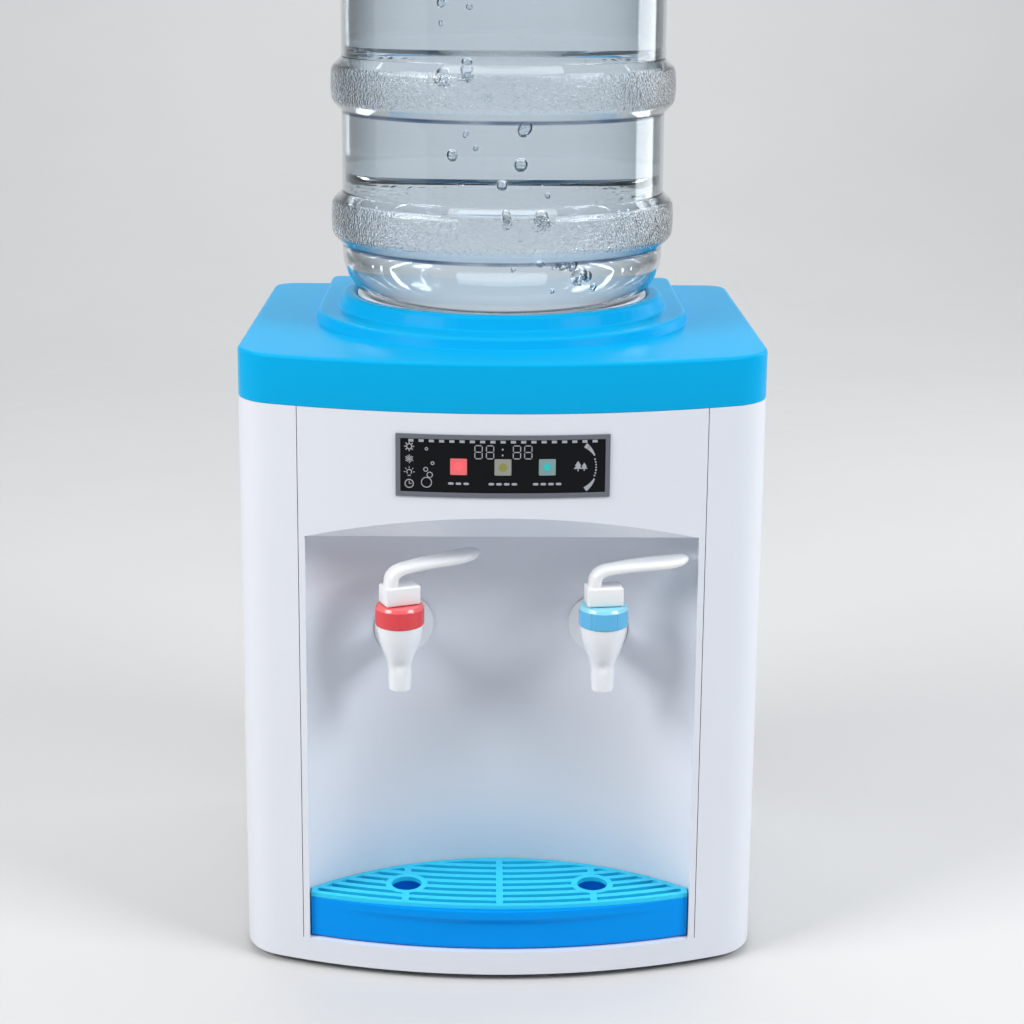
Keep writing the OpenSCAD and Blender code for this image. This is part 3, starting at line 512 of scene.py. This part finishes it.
def build_cover(material):
    rays = rays_from_seat([cabinet_plan(), plinth_plan()])

    def ring(outline, z):
        return [(*meet(outline, ray), z) for ray in rays]

    under = PLINTH_TOP - WALL
    rings = [ring(cabinet_plan(i), z) for i, z in fillets(
        [(WALL, SHELL_TOP, 0), (0, SHELL_TOP, 0.7), (0, DECK_Z, 3.9), (4, DECK_Z, 0)], 6)]
    rings += [ring(plinth_plan(i), z) for i, z in fillets(
        [(-0.7, DECK_Z, 0), (0, DECK_Z, 0.7), (1.6, PLINTH_TOP, 2.2), (5, PLINTH_TOP, 0)], 5)]
    rings += [ring(circle_plan(r), z) for r, z in fillets(
        [(103, PLINTH_TOP, 0), (100.2, PLINTH_TOP, 1.6), (97.4, PLINTH_TOP + RING_H, 3.2),
         (89, PLINTH_TOP + RING_H, 3.0), (89, under, 0)], 6)]
    rings += [ring(plinth_plan(WALL), under), ring(plinth_plan(WALL), DECK_Z - WALL)]
    rings += [ring(cabinet_plan(WALL), DECK_Z - WALL)]
    Shape().loft(rings, wrap=True).piece(
        "cover", material, "cabinet", "blue_cover", ["top_cover"], sharp=40)


# ---------- drip tray ----------

TRAY_GAP = 0.8
TRAY_INSET = 3
TRAY_WALL = 2.2
BEAD_OUT = 2.5


def tray_ring(z, shrink, bead=0.0):
    """The tray's lens-shaped outline at one height; `bead` rolls its front out, most in the middle."""
    x = BAY_X - TRAY_GAP - shrink
    r = FRONT_R - TRAY_INSET - shrink
    points = []
    for i in range(61):
        px = x * (2 * i / 60 - 1)
        roll = bead * BEAD_OUT * math.cos(math.pi / 2 * px / x) ** 1.4
        points.append((px, FRONT_CY - math.sqrt(r * r - px * px) - roll, z))
    for i in range(61):
        px = x * (1 - 2 * i / 60)
        points.append((px, bay_wall_y(px, TRAY_GAP + shrink), z))
    return points


def build_tray(material):
    low, top = TRAY_LOW.z, TRAY_HIGH.z
    rings = [tray_ring(z, s) for s, z in fillets([(6, low, 0), (0, low, 2.4), (0, top - 9, 0)], 5)]
    rings += [tray_ring(z, 0, b) for b, z in fillets(
        [(0, top - 8, 0), (1, top - 5.2, 1.5), (1, top - 1.5, 0)], 4)]
    rings += [tray_ring(z, s, 1) for s, z in fillets(
        [(0, top - 1.4, 0), (0, top, 1.1), (TRAY_WALL, top, 0)], 4)]
    rings += [tray_ring(z, s) for s, z in fillets(
        [(TRAY_WALL, top - 0.6, 0), (TRAY_WALL, low + 2.4, 2), (TRAY_WALL + 6, low + 2.4, 0)], 4)]
    Shape().loft(rings).piece("tray", material, "drip_tray", "tray_blue", ["drip_tray"], sharp=40)


# ---------- taps ----------

def yaw_of(side):
    """The angle at which a lever points, anticlockwise from +X, from its hinge's axis."""
    axis = next(j for j in frame["joints"] if j["name"] == side + "_press")["axis"]
    return math.atan2(-axis[0], axis[1])


BORE_R = 11.8
CHAMBER_R = 8
OUTLET_R = 4.4
NECK_BORE_R = 2.8
THREAD_R = 7.6
THREAD_END = -58


def build_tap_body(side, material):
    """The hollow barrel with its spout, and the level neck that goes through the cabinet's wall."""
    low, high = mm_box(side + "_tap_body")
    z0, z1 = low.z, mm_box(side + "_tap_cap")[0].z
    x, y = centre_of(side + "_tap_cap").xy
    flange_y = bay_wall_y(x) - y
    inlet = centre_of("tap_flanges").z
    outside = spline([
        (6.0, z0), (6.3, z0 + 0.8), (6.6, z0 + 8), (6.8, z0 + 14), (8.5, z0 + 19.5), (10.4, z0 + 24.5),
        (11.9, z0 + 29.5), (12.7, z0 + 34), (13.05, z1 - 0.6), (12.9, z1 - 0.1),
    ], 5)
    inside = [
        (BORE_R, z1 - 0.1), (BORE_R, high.z), (CHAMBER_R, high.z), (CHAMBER_R, z0 + 18),
        (OUTLET_R, z0 + 17), (OUTLET_R, z0),
    ]

    def dimple(radius, z, angle):
        """A thumb-sized hollow where the barrel meets the spout."""
        if radius < 5.5 or z > z1 - 1:
            return radius
        turn = (math.degrees(angle) - 270) / 24
        return radius - 1.8 * math.exp(-turn * turn - ((z - z0 - 15) / 3.2) ** 2)

    shape = Shape()
    shape.lathe(outside + inside, 96, moved(x, y, 0), dimple, wrap=True)
    thread_y, tip_y = THREAD_END - y, high.y - y
    neck = fillets([
        (THREAD_R, 8.6, 0), (9.6, 9.6, 1.0), (8.0, 14, 5), (8.0, flange_y, 0),
        (THREAD_R, flange_y + 0.1, 0), (THREAD_R, thread_y, 0.6), (4, thread_y, 0), (4, tip_y, 0.4),
        (NECK_BORE_R, tip_y, 0), (NECK_BORE_R, 9, 0),
    ], 4)
    shape.lathe(neck, 48, along_y(x, y, inlet), wrap=True)
    shape.piece(side + "_tap", material, "cabinet", "tap_white", [side + "_tap_body"], sharp=50)


def build_tap_cap(side, material, highlight_material, slot, grooves):
    """The coloured collar: a cup whose shoulder and top get a lighter, glossier copy of its colour as a
    painted highlight, and fine grooves down its front.
    """
    low, high = mm_box(side + "_tap_cap")
    x, y = centre_of(side + "_tap_cap").xy
    r, h = (high.x - low.x) / 2, high.z - low.z
    roof, shoulder = h - 4.5, h - 2.0
    profile = fillets([
        (3.3, roof, 0), (3.3, h, 0.3), (r - 1.3, h, 0.7), (r - 0.35, shoulder + 0.4, 0.8),
        (r, shoulder, 0.5), (r, 1.0, 2), (r - 0.4, 0, 0.4), (11.9, 0, 0.3), (11.9, roof, 0),
        (3.3, roof, 0),
    ], 4)[1:]

    def groove(radius, z, angle):
        if radius < r - 0.3 or not 0.6 < z < shoulder:
            return radius
        front = math.degrees(angle) - 270
        return radius - 0.3 * sum(math.exp(-((front - g) / 1.6) ** 2) for g in grooves)

    collar = Shape().lathe(profile, 240, moved(x, y, low.z), groove, wrap=True).piece(
        side + "_collar", material, "cabinet", slot, [side + "_tap_cap"], sharp=30)
    # painted highlight: the faces above the shoulder take the lighter copy of the collar's colour
    collar.data.materials.append(highlight_material)
    for face in collar.data.polygons:
        if face.center.z > (low.z + shoulder) * MM:
            face.material_index = 1


BLOCK_X = 10.3
BLOCK_Y = 6.75
BLOCK_H = 11
LEVER_STATIONS = (
    # along the lever, above the block, half thickness, half width
    (-5.6, -4.0, 3.6, 5.6), (-5.3, 1.0, 3.6, 5.7), (-4.2, 5.6, 3.4, 5.7), (-0.3, 8.4, 3.1, 5.9),
    (5.5, 9.5, 2.9, 6.4), (12, 10.4, 2.9, 7.3), (20, 11.2, 2.9, 8.4), (29, 11.8, 3.0, 9.1),
    (37, 12.4, 2.8, 9.15), (43, 13.5, 2.4, 8.0), (46.4, 14.4, 1.6, 5.4), (47.7, 14.8, 0.8, 2.4),
)


def build_lever(side, material):
    """A cam block on the stem, and the arm that rises from it to a spoon-shaped paddle."""
    low = mm_box(side + "_lever")[0]
    x, y = centre_of(side + "_tap_cap").xy
    z1 = low.z + BLOCK_H
    place = moved(x, y, 0) @ Matrix.Rotation(yaw_of(side), 4, "Z")
    shape = Shape()
    shape.rounded_box((-BLOCK_X, -BLOCK_Y, low.z), (BLOCK_X, BLOCK_Y, z1), 1.3, place=place)
    path = spline([(a, z1 + b, c, d) for a, b, c, d in LEVER_STATIONS], 6)
    rings = []
    for i, (px, pz, thick, wide) in enumerate(path):
        before, after = path[max(i - 1, 0)], path[min(i + 1, len(path) - 1)]
        up = Vector((before[1] - after[1], 0, after[0] - before[0])).normalized()
        # the paddle's upper face is dished along its middle
        dish = 0.55 * max(0.0, min(1.0, (px - 10) / 15)) * thick / 2.9
        ring = []
        for k in range(40):
            c, s = math.cos(math.tau * k / 40), math.sin(math.tau * k / 40)
            across = wide * math.copysign(abs(c) ** 0.75, c)
            rise = thick * math.copysign(abs(s) ** 0.8, s)
            if s > 0:
                rise -= dish * (1 - abs(c) ** 1.5) * s
            ring.append((px + up.x * rise, across, pz + up.z * rise))
        rings.append(ring)
    shape.loft(rings, place=place)
    shape.piece(side + "_handle", material, side + "_lever", "lever_white", [side + "_lever"], sharp=60)


# ---------- bottle ----------

BOTTLE_R = 97.5
RIB_OUT = (BOTTLE_HIGH.x - BOTTLE_LOW.x) / 2 - BOTTLE_R
RIB_H = 31
RIB_FLAT = 17
RIB_Z = [424.5, 504.5, 584.5]
# the painted dark reflection band sits this far under each rib
PAINTED_BAND_DROP = 0.8
SHOULDER_R = 32.6
SHOULDER_Z = 403.8
BOTTLE_WALL = 1.6
NECK_R = 27.5
WATER_Z = 626


def bottle_outline(o=0.0):
    """Half profile from the neck's mouth to the middle of the upturned base, moved inwards by o."""
    top = BOTTLE_HIGH.z
    r = BOTTLE_R - o
    shoulder = arc(BOTTLE_R - SHOULDER_R, SHOULDER_Z, SHOULDER_R - o, -65.3, -4, 14)
    corners = [(NECK_R - o, BOTTLE_LOW.z, 0), (NECK_R - o, 351 + o, 4)]
    corners += [(*p, 0) for p in shoulder]
    for z in RIB_Z:
        out, flat, edge = r + RIB_OUT, RIB_FLAT / 2, RIB_H / 2
        corners += [
            (r, z - edge - 0.5, 1.2), (out - 1.6, z - flat - 2.6, 3.2), (out - 0.4, z - flat, 2.0),
            (out, z - 3, 8), (out, z + 3, 8), (out - 0.4, z + flat, 2.0),
            (out - 1.6, z + flat + 2.6, 3.2), (r, z + edge + 0.5, 1.2),
        ]
    corners += [
        (r, top - 22, 6), (r - 1.2, top - 14, 14), (r - 10, top - 2.5 - o, 9), (r - 24, top - o, 14),
        (64, top - o, 6), (52, top - 9 - o, 8), (16, top - 6 - o, 20), (0.02, top - 6 - o, 0),
    ]
    return fillets(corners, 5)


def build_bottle(material):
    profile = bottle_outline() + bottle_outline(BOTTLE_WALL)[::-1]
    Shape().lathe(profile, 160, moved(0, SEAT_Y, 0), wrap=True).piece(
        "bottle_shell", material, "bottle", "bottle_clear", ["bottle"], sharp=60)


def build_water(material):
    """The water stands a hair inside the bottle's wall, from the neck to its level."""
    floor_z = BOTTLE_LOW.z + 18
    inside = [(r, z) for r, z in bottle_outline(BOTTLE_WALL + 0.25) if floor_z + 1 < z < WATER_Z]
    profile = [(0.02, floor_z), (NECK_R - 3, floor_z)] + inside
    profile += [(inside[-1][0], WATER_Z), (0.02, WATER_Z - 0.2)]
    Shape().lathe(profile, 160, moved(0, SEAT_Y, 0)).piece(
        "water_fill", material, "bottle", "bottle_clear", sharp=50)


def build_bubbles(material):
    """Air bubbles that drift up and to the left behind the front wall."""
    shape = Shape()
    ball = [(math.sin(a), -math.cos(a)) for a in (math.pi * k / 12 for k in range(13))]
    for k in range(26):
        rise = random.random()
        x = 38 - 82 * rise + random.gauss(0, 15)
        z = 388 + 180 * rise
        size = random.choice((1.5, 2.0, 2.6, 3.2, 3.9, 4.8))
        reach = random.uniform(78, 88)
        y = SEAT_Y - math.sqrt(max(reach ** 2 - x * x, 900))
        tilt = Matrix.Rotation(random.uniform(-0.6, 0.6), 4, "Y")
        squash = random.uniform(0.85, 1.5)
        profile = [(max(r, 0.004) * size, h * size * squash) for r, h in ball]
        shape.lathe(profile, 24, moved(x, y, z) @ tilt)
    shape.piece("bubbles", material, "bottle", "bottle_clear", sharp=80)


# ---------- display ----------

# How far the printed marks stand in front of the cabinet's bulge
PROUD = 0.42


def on_front(x, z, proud):
    """A point on the display's bulged face."""
    return x, front_y(x, -proud), z


def mark(shape, outline, proud, thick=0.25):
    """A thin printed shape that follows the display's face. Its outline is in x and z."""
    n = len(outline)
    near = [on_front(x, z, proud) for x, z in outline]
    far = [on_front(x, z, proud - thick) for x, z in outline]
    faces = [list(range(n)), [n + k for k in range(n)][::-1]]
    faces += [[k, (k + 1) % n, n + (k + 1) % n, n + k] for k in range(n)]
    shape.add(near + far, faces)


def bar(shape, x0, z0, x1, z1, width, proud=PROUD):
    """A straight stroke with round ends."""
    along = Vector((x1 - x0, z1 - z0))
    a = math.degrees(math.atan2(along.y, along.x))
    r = width / 2
    mark(shape, arc(x1, z1, r, a - 90, a + 90, 5) + arc(x0, z0, r, a + 90, a + 270, 5), proud)


def ring_mark(shape, x, z, r, width, start=0, end=360, proud=PROUD):
    """An arc-shaped stroke."""
    steps = max(int(abs(end - start) / 15), 2)
    outer = arc(x, z, r + width / 2, start, end, steps)
    inner = arc(x, z, r - width / 2, start, end, steps)
    for i in range(steps):
        mark(shape, [outer[i], outer[i + 1], inner[i + 1], inner[i]], proud)


# A digit's strokes: each one's two ends, in widths and half heights
SEGMENTS = (
    (0, 2, 1, 2), (1, 2, 1, 1), (1, 1, 1, 0), (0, 0, 1, 0), (0, 0, 0, 1), (0, 1, 0, 2), (0, 1, 1, 1),
)
WINDOW_X = 24.3
BLOCK_PITCH = 4.2


def digit(shape, x, z, w, h):
    """A seven-segment eight."""
    for a, b, c, d in SEGMENTS:
        p, q = Vector((x + a * w, z + b * h / 2)), Vector((x + c * w, z + d * h / 2))
        gap = (q - p).normalized() * 0.6
        bar(shape, *(p + gap), *(q - gap), 0.5)


def spokes(shape, x, z, r0, r1, count, width, start=0):
    """Short strokes that point away from one place."""
    for k in range(count):
        a = math.radians(start + 360 * k / count)
        c, s = math.cos(a), math.sin(a)
        bar(shape, x + r0 * c, z + r0 * s, x + r1 * c, z + r1 * s, width)


def side_icons(shape, x, z):
    """Gear, flake, lamp and clock, one under another."""
    ring_mark(shape, x, z + 10.5, 1.4, 0.5)
    spokes(shape, x, z + 10.5, 1.9, 2.5, 8, 0.6)
    spokes(shape, x, z + 3.5, 0, 2.3, 6, 0.4, 30)
    spokes(shape, x, z + 3.5, 1.2, 1.9, 6, 0.4, 55)
    ring_mark(shape, x, z - 3.9, 1.3, 0.45, -50, 230)
    bar(shape, x - 0.6, z - 5.9, x + 0.6, z - 5.9, 0.5)
    for a in (0, 45, 90, 135, 180):
        c, s = math.cos(math.radians(a)), math.sin(math.radians(a))
        bar(shape, x + 2.2 * c, z - 3.9 + 2.2 * s, x + 2.9 * c, z - 3.9 + 2.9 * s, 0.4)
    ring_mark(shape, x, z - 10.5, 2.3, 0.5)
    bar(shape, x, z - 10.5, x, z - 9.1, 0.42)
    bar(shape, x, z - 10.5, x + 1.1, z - 10.5, 0.42)


def tree(shape, x, z, h):
    """Two stacked triangles on a trunk."""
    for low, size in ((0.2, 0.42), (0.5, 0.32)):
        base = z + low * h
        mark(shape, [(x - size * h, base), (x + size * h, base), (x, base + 0.5 * h)], PROUD)
    bar(shape, x, z, x, z + 0.2 * h, 0.6)


def gauge(shape, x, z, r):
    """An arc of dashes between two solid ends that taper towards its middle."""
    for side in (-1, 1):
        for k in range(6):
            start = side * (26 + 5 * k)
            ring_mark(shape, x, z, r, 0.9 + 0.36 * k, start, start + side * 5.2)
    for k in range(7):
        start = -21 + 6.2 * k
        ring_mark(shape, x, z, r - 0.6, 0.8, start, start + 3.4)


# Rings printed beside the icons: place from the display's middle, and radius
PRINTED_BUBBLES = (
    (-41.9, -9.5, 2.8), (-40.1, -5.2, 1.5), (-42.3, -2.2, 1.1), (-38.6, 1.4, 0.8), (-41.9, 9.4, 0.7),
)


def build_marks(cx, cz, top, material):
    marks = Shape()
    for dx in (-15.4, -9.1, 5.6, 11.8):
        digit(marks, cx + dx, cz + 4.5, 4.0, 7.3)
    for dz in (6.4, 9.7):
        bar(marks, cx - 0.2, cz + dz, cx - 0.2, cz + dz + 0.1, 1.0)
    # battlement along the top, under the frame
    for k in range(19):
        x0, x1 = cx + 5.6 * (k - 9) - 1.4, cx + 5.6 * (k - 9) + 1.4
        mark(marks, [(x0, top - 1.7), (x1, top - 1.7), (x1, top - 0.2), (x0, top - 0.2)], PROUD)
    side_icons(marks, cx - 51.4, cz)
    for dx, dz, r in PRINTED_BUBBLES:
        ring_mark(marks, cx + dx, cz + dz, r, 0.45)
    # rows of blocks under the windows, in place of words
    for k, blocks in enumerate((3, 4, 4)):
        for i in range(blocks):
            x = cx + (k - 1) * WINDOW_X + (i - (blocks - 1) / 2) * BLOCK_PITCH
            bar(marks, x - 0.9, cz - 9.8, x + 0.9, cz - 9.8, 1.3)
    tree(marks, cx + 41.2, cz - 2.6, 5.6)
    tree(marks, cx + 44.6, cz - 2.4, 4.4)
    gauge(marks, cx + 36.8, cz - 0.7, 15.0)
    marks.piece("display_marks", material, "cabinet", "bezel_grey", sharp=30)


def build_windows(materials):
    """Square windows, each with a lamp behind its middle."""
    low, high = mm_box("indicator_windows")
    z, half, r = (low.z + high.z) / 2, (high.z - low.z) / 2, 0.6
    for name, side in (("hot", -1), ("cold", 0), ("warm", 1)):
        x, q = side * WINDOW_X, half - r
        window = Shape()
        mark(window, arc(x + q, z + q, r, 0, 90, 3) + arc(x - q, z + q, r, 90, 180, 3)
             + arc(x - q, z - q, r, 180, 270, 3) + arc(x + q, z - q, r, 270, 360, 3), 0.4, 3.0)
        window.piece(
            name + "_window", materials[name][0], "cabinet", "window", ["indicator_windows"], sharp=30)
        lamp = Shape()
        mark(lamp, arc(x, z, 2.2, 0, 350, 27), 0.5, 0.5)
        lamp.piece(name + "_lamp", materials[name][1], "cabinet", "window", sharp=30)


# ---------- stage ----------

LIGHTS = (
    # name, place, aim, size, power, colour
    ("key", (-1.75, -1.0, 1.6), (0, 0, 0.25), (1.1, 0.9), 41, (1.0, 0.99, 0.98)),
    ("fill", (1.75, -1.0, 1.6), (0, 0, 0.25), (1.0, 0.9), 38, (0.95, 0.975, 1.0)),
    ("left_box", (-1.9, -0.4, 0.9), (0, 0, 0.4), (1.8, 1.5), 3, (0.97, 0.985, 1.0)),
    ("right_box", (1.65, 0.95, 0.9), (0, 0, 0.4), (0.9, 1.4), 10, (0.97, 0.985, 1.0)),
    ("top", (0, -0.3, 2.4), (0, 0, 0.4), (1.6, 1.2), 12, (1.0, 1.0, 1.0)),
    ("backdrop", (0, 2.6, 3.0), (0, 3.4, 0.3), (4.0, 2.4), 78, (0.95, 0.975, 1.0)),
)


def build_floor():
    """A pale floor that curves up behind the object."""
    half, back, rise, bend, front = 8.0, 1.6, 7.0, 3.4, -8.0
    curve = [math.pi / 2 * k / 40 for k in range(41)]
    profile = [(front, 0.0)] + [(back + bend * math.sin(a), bend * (1 - math.cos(a))) for a in curve]
    profile.append((back + bend, rise))
    mesh = bpy.data.meshes.new("floor")
    faces = [(2 * i, 2 * i + 1, 2 * i + 3, 2 * i + 2) for i in range(len(profile) - 1)]
    mesh.from_pydata([(x, y, z) for y, z in profile for x in (-half, half)], [], faces)
    mesh.shade_smooth()
    m = Nodes("floor")
    m.vary_colour((0.64, 0.64, 0.635), 0.012, 3)
    m.vary_roughness(0.5, 0.62, 20)
    mesh.materials.append(m.material)
    floor = bpy.data.objects.new("floor", mesh)
    bpy.context.scene.collection.objects.link(floor)


def build_lights():
    world = bpy.data.worlds.new("studio")
    bpy.context.scene.world = world
    world.use_nodes = True
    background = world.node_tree.nodes["Background"]
    background.inputs["Color"].default_value = (0.90, 0.94, 1.0, 1)
    background.inputs["Strength"].default_value = 0.13
    for name, place, aim, size, power, colour in LIGHTS:
        light = bpy.data.lights.new(name, "AREA")
        light.shape = "RECTANGLE"
        light.size, light.size_y = size
        light.energy = power
        light.color = colour
        lamp = bpy.data.objects.new(name, light)
        lamp.location = place
        lamp.rotation_euler = (Vector(aim) - Vector(place)).to_track_quat("-Z", "Y").to_euler()
        bpy.context.scene.collection.objects.link(lamp)


CAMERA_AT = (-0.0101, -1.2336, 0.5825)
CAMERA_PITCH, CAMERA_YAW, CAMERA_ROLL = 12.28, 0.756, 0.47


def build_camera():
    camera = bpy.data.cameras.new("camera")
    camera.sensor_width = 36
    camera.lens = 72.6
    camera.shift_x = 0.0005
    camera.shift_y = -0.109
    camera.clip_end = 50
    eye = bpy.data.objects.new("camera", camera)
    pitch, yaw, roll = (math.radians(a) for a in (CAMERA_PITCH, CAMERA_YAW, CAMERA_ROLL))
    look = Matrix.Rotation(-yaw, 4, "Z") @ Matrix.Rotation(math.pi / 2 - pitch, 4, "X")
    eye.matrix_world = Matrix.Translation(CAMERA_AT) @ look @ Matrix.Rotation(roll, 4, "Z")
    bpy.context.scene.collection.objects.link(eye)
    bpy.context.scene.camera = eye
    bpy.context.scene.view_settings.view_transform = "Standard"


# ---------- assembly ----------

WHITE = (0.765, 0.79, 0.86)
BLUE = (0.004, 0.405, 0.77)

white_abs = moulded("white_abs", WHITE, 0.31, 0.15)
cover_blue = moulded("cover_blue", BLUE, 0.24, specular=0.03)
tray_blue = moulded("tray_blue", (0.001, 0.31, 0.90), 0.22, specular=0.06)
grille_cyan = moulded("grille_cyan", (0.02, 0.62, 0.92), 0.24, specular=0.3)
tap_white = moulded("tap_white", (0.82, 0.84, 0.88), 0.18, 0.3)
lever_white = moulded("lever_white", (0.85, 0.86, 0.87), 0.22, 0.2)
collar_red = moulded("collar_red", (0.74, 0.045, 0.06), 0.25, 0.2)
# a lighter copy of the red, painted on the collar's top as a highlight
collar_red_painted_highlight = moulded("collar_red_painted_highlight", (0.86, 0.14, 0.15), 0.2, 0.3)
collar_blue = moulded("collar_blue", (0.10, 0.46, 0.78), 0.25, 0.2)
# a lighter copy of the blue, painted on the collar's top as a highlight
collar_blue_painted_highlight = moulded("collar_blue_painted_highlight", (0.28, 0.68, 0.84), 0.2, 0.3)
rear_grey = moulded("rear_white", (0.72, 0.73, 0.74), 0.5, grain=900, grain_depth=0.00008)
base_grey = moulded("base_grey", (0.12, 0.12, 0.13), 0.6, grain=900, grain_depth=0.00008)
seat_white = moulded("seat_white", (0.80, 0.82, 0.85), 0.3, 0.2)
fitting_white = moulded("fitting_white", (0.78, 0.79, 0.80), 0.4)
natural_plastic = moulded("natural_plastic", (0.74, 0.73, 0.66), 0.45)
black_plastic = moulded("black_plastic", (0.018, 0.018, 0.02), 0.4, grain=900, grain_depth=0.00006)
bezel_grey = moulded("bezel_grey", (0.135, 0.15, 0.18), 0.35)
panel_black = moulded("panel_black", (0.004, 0.0045, 0.006), 0.3, specular=0.15)
# the printed marks also glow faintly: a painted glow, since they are print and no lamp
mark_grey_painted_glow = moulded("mark_grey_painted_glow", (0.36, 0.38, 0.42), 0.5, glow=0.05)
hot_window = moulded("hot_window", (0.60, 0.10, 0.11), 0.3, glow=0.45)
cold_window = moulded("cold_window", (0.30, 0.30, 0.27), 0.3, 0.2)
warm_window = moulded("warm_window", (0.22, 0.33, 0.34), 0.3, 0.2)
lamp_red = moulded("lamp_red", (0.95, 0.05, 0.06), 0.2, 0.3, glow=1.8)
lamp_olive = moulded("lamp_olive", (0.22, 0.22, 0.04), 0.2, 0.3, glow=0.15)
lamp_teal = moulded("lamp_teal", (0.02, 0.36, 0.36), 0.2, 0.3, glow=0.4)
board_green = moulded("board_green", (0.02, 0.14, 0.06), 0.35, 0.3, spread=0.15)
rocker_red = moulded("rocker_red", (0.55, 0.02, 0.02), 0.25, 0.3)
rocker_green = moulded("rocker_green", (0.02, 0.28, 0.08), 0.25, 0.3)
cap_blue = moulded("cap_blue", (0.02, 0.12, 0.45), 0.35)
ceramic = moulded("ceramic", (0.78, 0.78, 0.75), 0.6)
steel = metal("steel", (0.62, 0.62, 0.63), 0.28, (1, 1, 0.05))
aluminium = metal("aluminium", (0.70, 0.71, 0.72), 0.35, (0.05, 1, 1))
brass = metal("brass", (0.72, 0.54, 0.22), 0.3, (1, 1, 0.05))
copper = metal("copper_winding", (0.72, 0.34, 0.16), 0.35, (1, 0.05, 1))
rubber_black = rubbery("rubber_black", (0.018, 0.018, 0.02), 0.8)
rubber_grey = rubbery("rubber_grey", (0.36, 0.37, 0.38), 0.7)
silicone = rubbery("silicone", (0.66, 0.68, 0.68), 0.45)
foam_grey = foamy("foam_grey", (0.52, 0.53, 0.54))

NODE_MATERIALS = {
    white_abs: ["outer_shell", "front_fascia"],
    rear_grey: ["rear_panel"],
    base_grey: ["base_pan"],
    rubber_black: ["feet"],
    steel: [
        "base_screws", "rear_panel_screws", "hot_tank", "hot_spring", "cold_spring", "hot_pin",
        "cold_pin",
    ],
    seat_white: ["bottle_seat", "feed_probe"],
    rubber_grey: ["seat_gasket"],
    natural_plastic: ["reservoir"],
    foam_grey: ["reservoir_foam", "hot_tank_jacket"],
    brass: ["heater_band"],
    black_plastic: ["thermostats", "fan_frame", "fan_rotor", "cord_gland", "switch_housings"],
    aluminium: ["cold_plate", "heatsink"],
    ceramic: ["peltier_module"],
    board_green: ["power_board", "display_board"],
    copper: ["transformer"],
    lamp_red: ["indicator_leds"],
    bezel_grey: ["display_bezel"],
    panel_black: ["display_panel"],
    silicone: ["hot_hose", "cold_hose", "supply_hose", "drain_hose", "hot_seal", "cold_seal"],
    fitting_white: ["drain_outlet", "drain_cap", "tap_nuts", "hot_stem", "cold_stem"],
    rocker_red: ["heat_switch_rocker"],
    rocker_green: ["cool_switch_rocker"],
    grille_cyan: ["drip_grille"],
    cap_blue: ["bottle_cap"],
    tap_white: ["tap_flanges"],
}
for material, names in NODE_MATERIALS.items():
    for name in names:
        mesh = frame["nodes"][name].data
        mesh.materials.clear()
        mesh.materials.append(material)

# Radius of the moulded edges of the CAD nodes that stay
EDGES = (
    ("outer_shell", 0.8), ("front_fascia", 0.7), ("rear_panel", 0.4), ("feet", 0.8), ("bottle_seat", 0.6),
    ("display_bezel", 0.35), ("drip_grille", 0.45), ("tap_flanges", 0.6), ("switch_housings", 0.4),
    ("heat_switch_rocker", 0.35), ("cool_switch_rocker", 0.35), ("drain_cap", 0.5), ("cord_gland", 0.5),
    ("bottle_cap", 0.5), ("base_pan", 0.5),
)
for node, width in EDGES:
    round_edges(node, width)

build_cover(cover_blue)
build_tray(tray_blue)
for side in ("hot", "cold"):
    build_tap_body(side, tap_white)
    build_lever(side, lever_white)
build_tap_cap("hot", collar_red, collar_red_painted_highlight, "hot_red", (4,))
build_tap_cap("cold", collar_blue, collar_blue_painted_highlight, "cold_blue", (-30, 30))
build_bottle(clear_bottle())
build_water(clear_water())
build_bubbles(air_in_water())

display_middle = centre_of("display_bezel")
build_marks(display_middle.x, display_middle.z, mm_box("display_panel")[1].z, mark_grey_painted_glow)
build_windows({
    "hot": (hot_window, lamp_red), "cold": (cold_window, lamp_olive), "warm": (warm_window, lamp_teal),
})
build_floor()
build_lights()
build_camera()
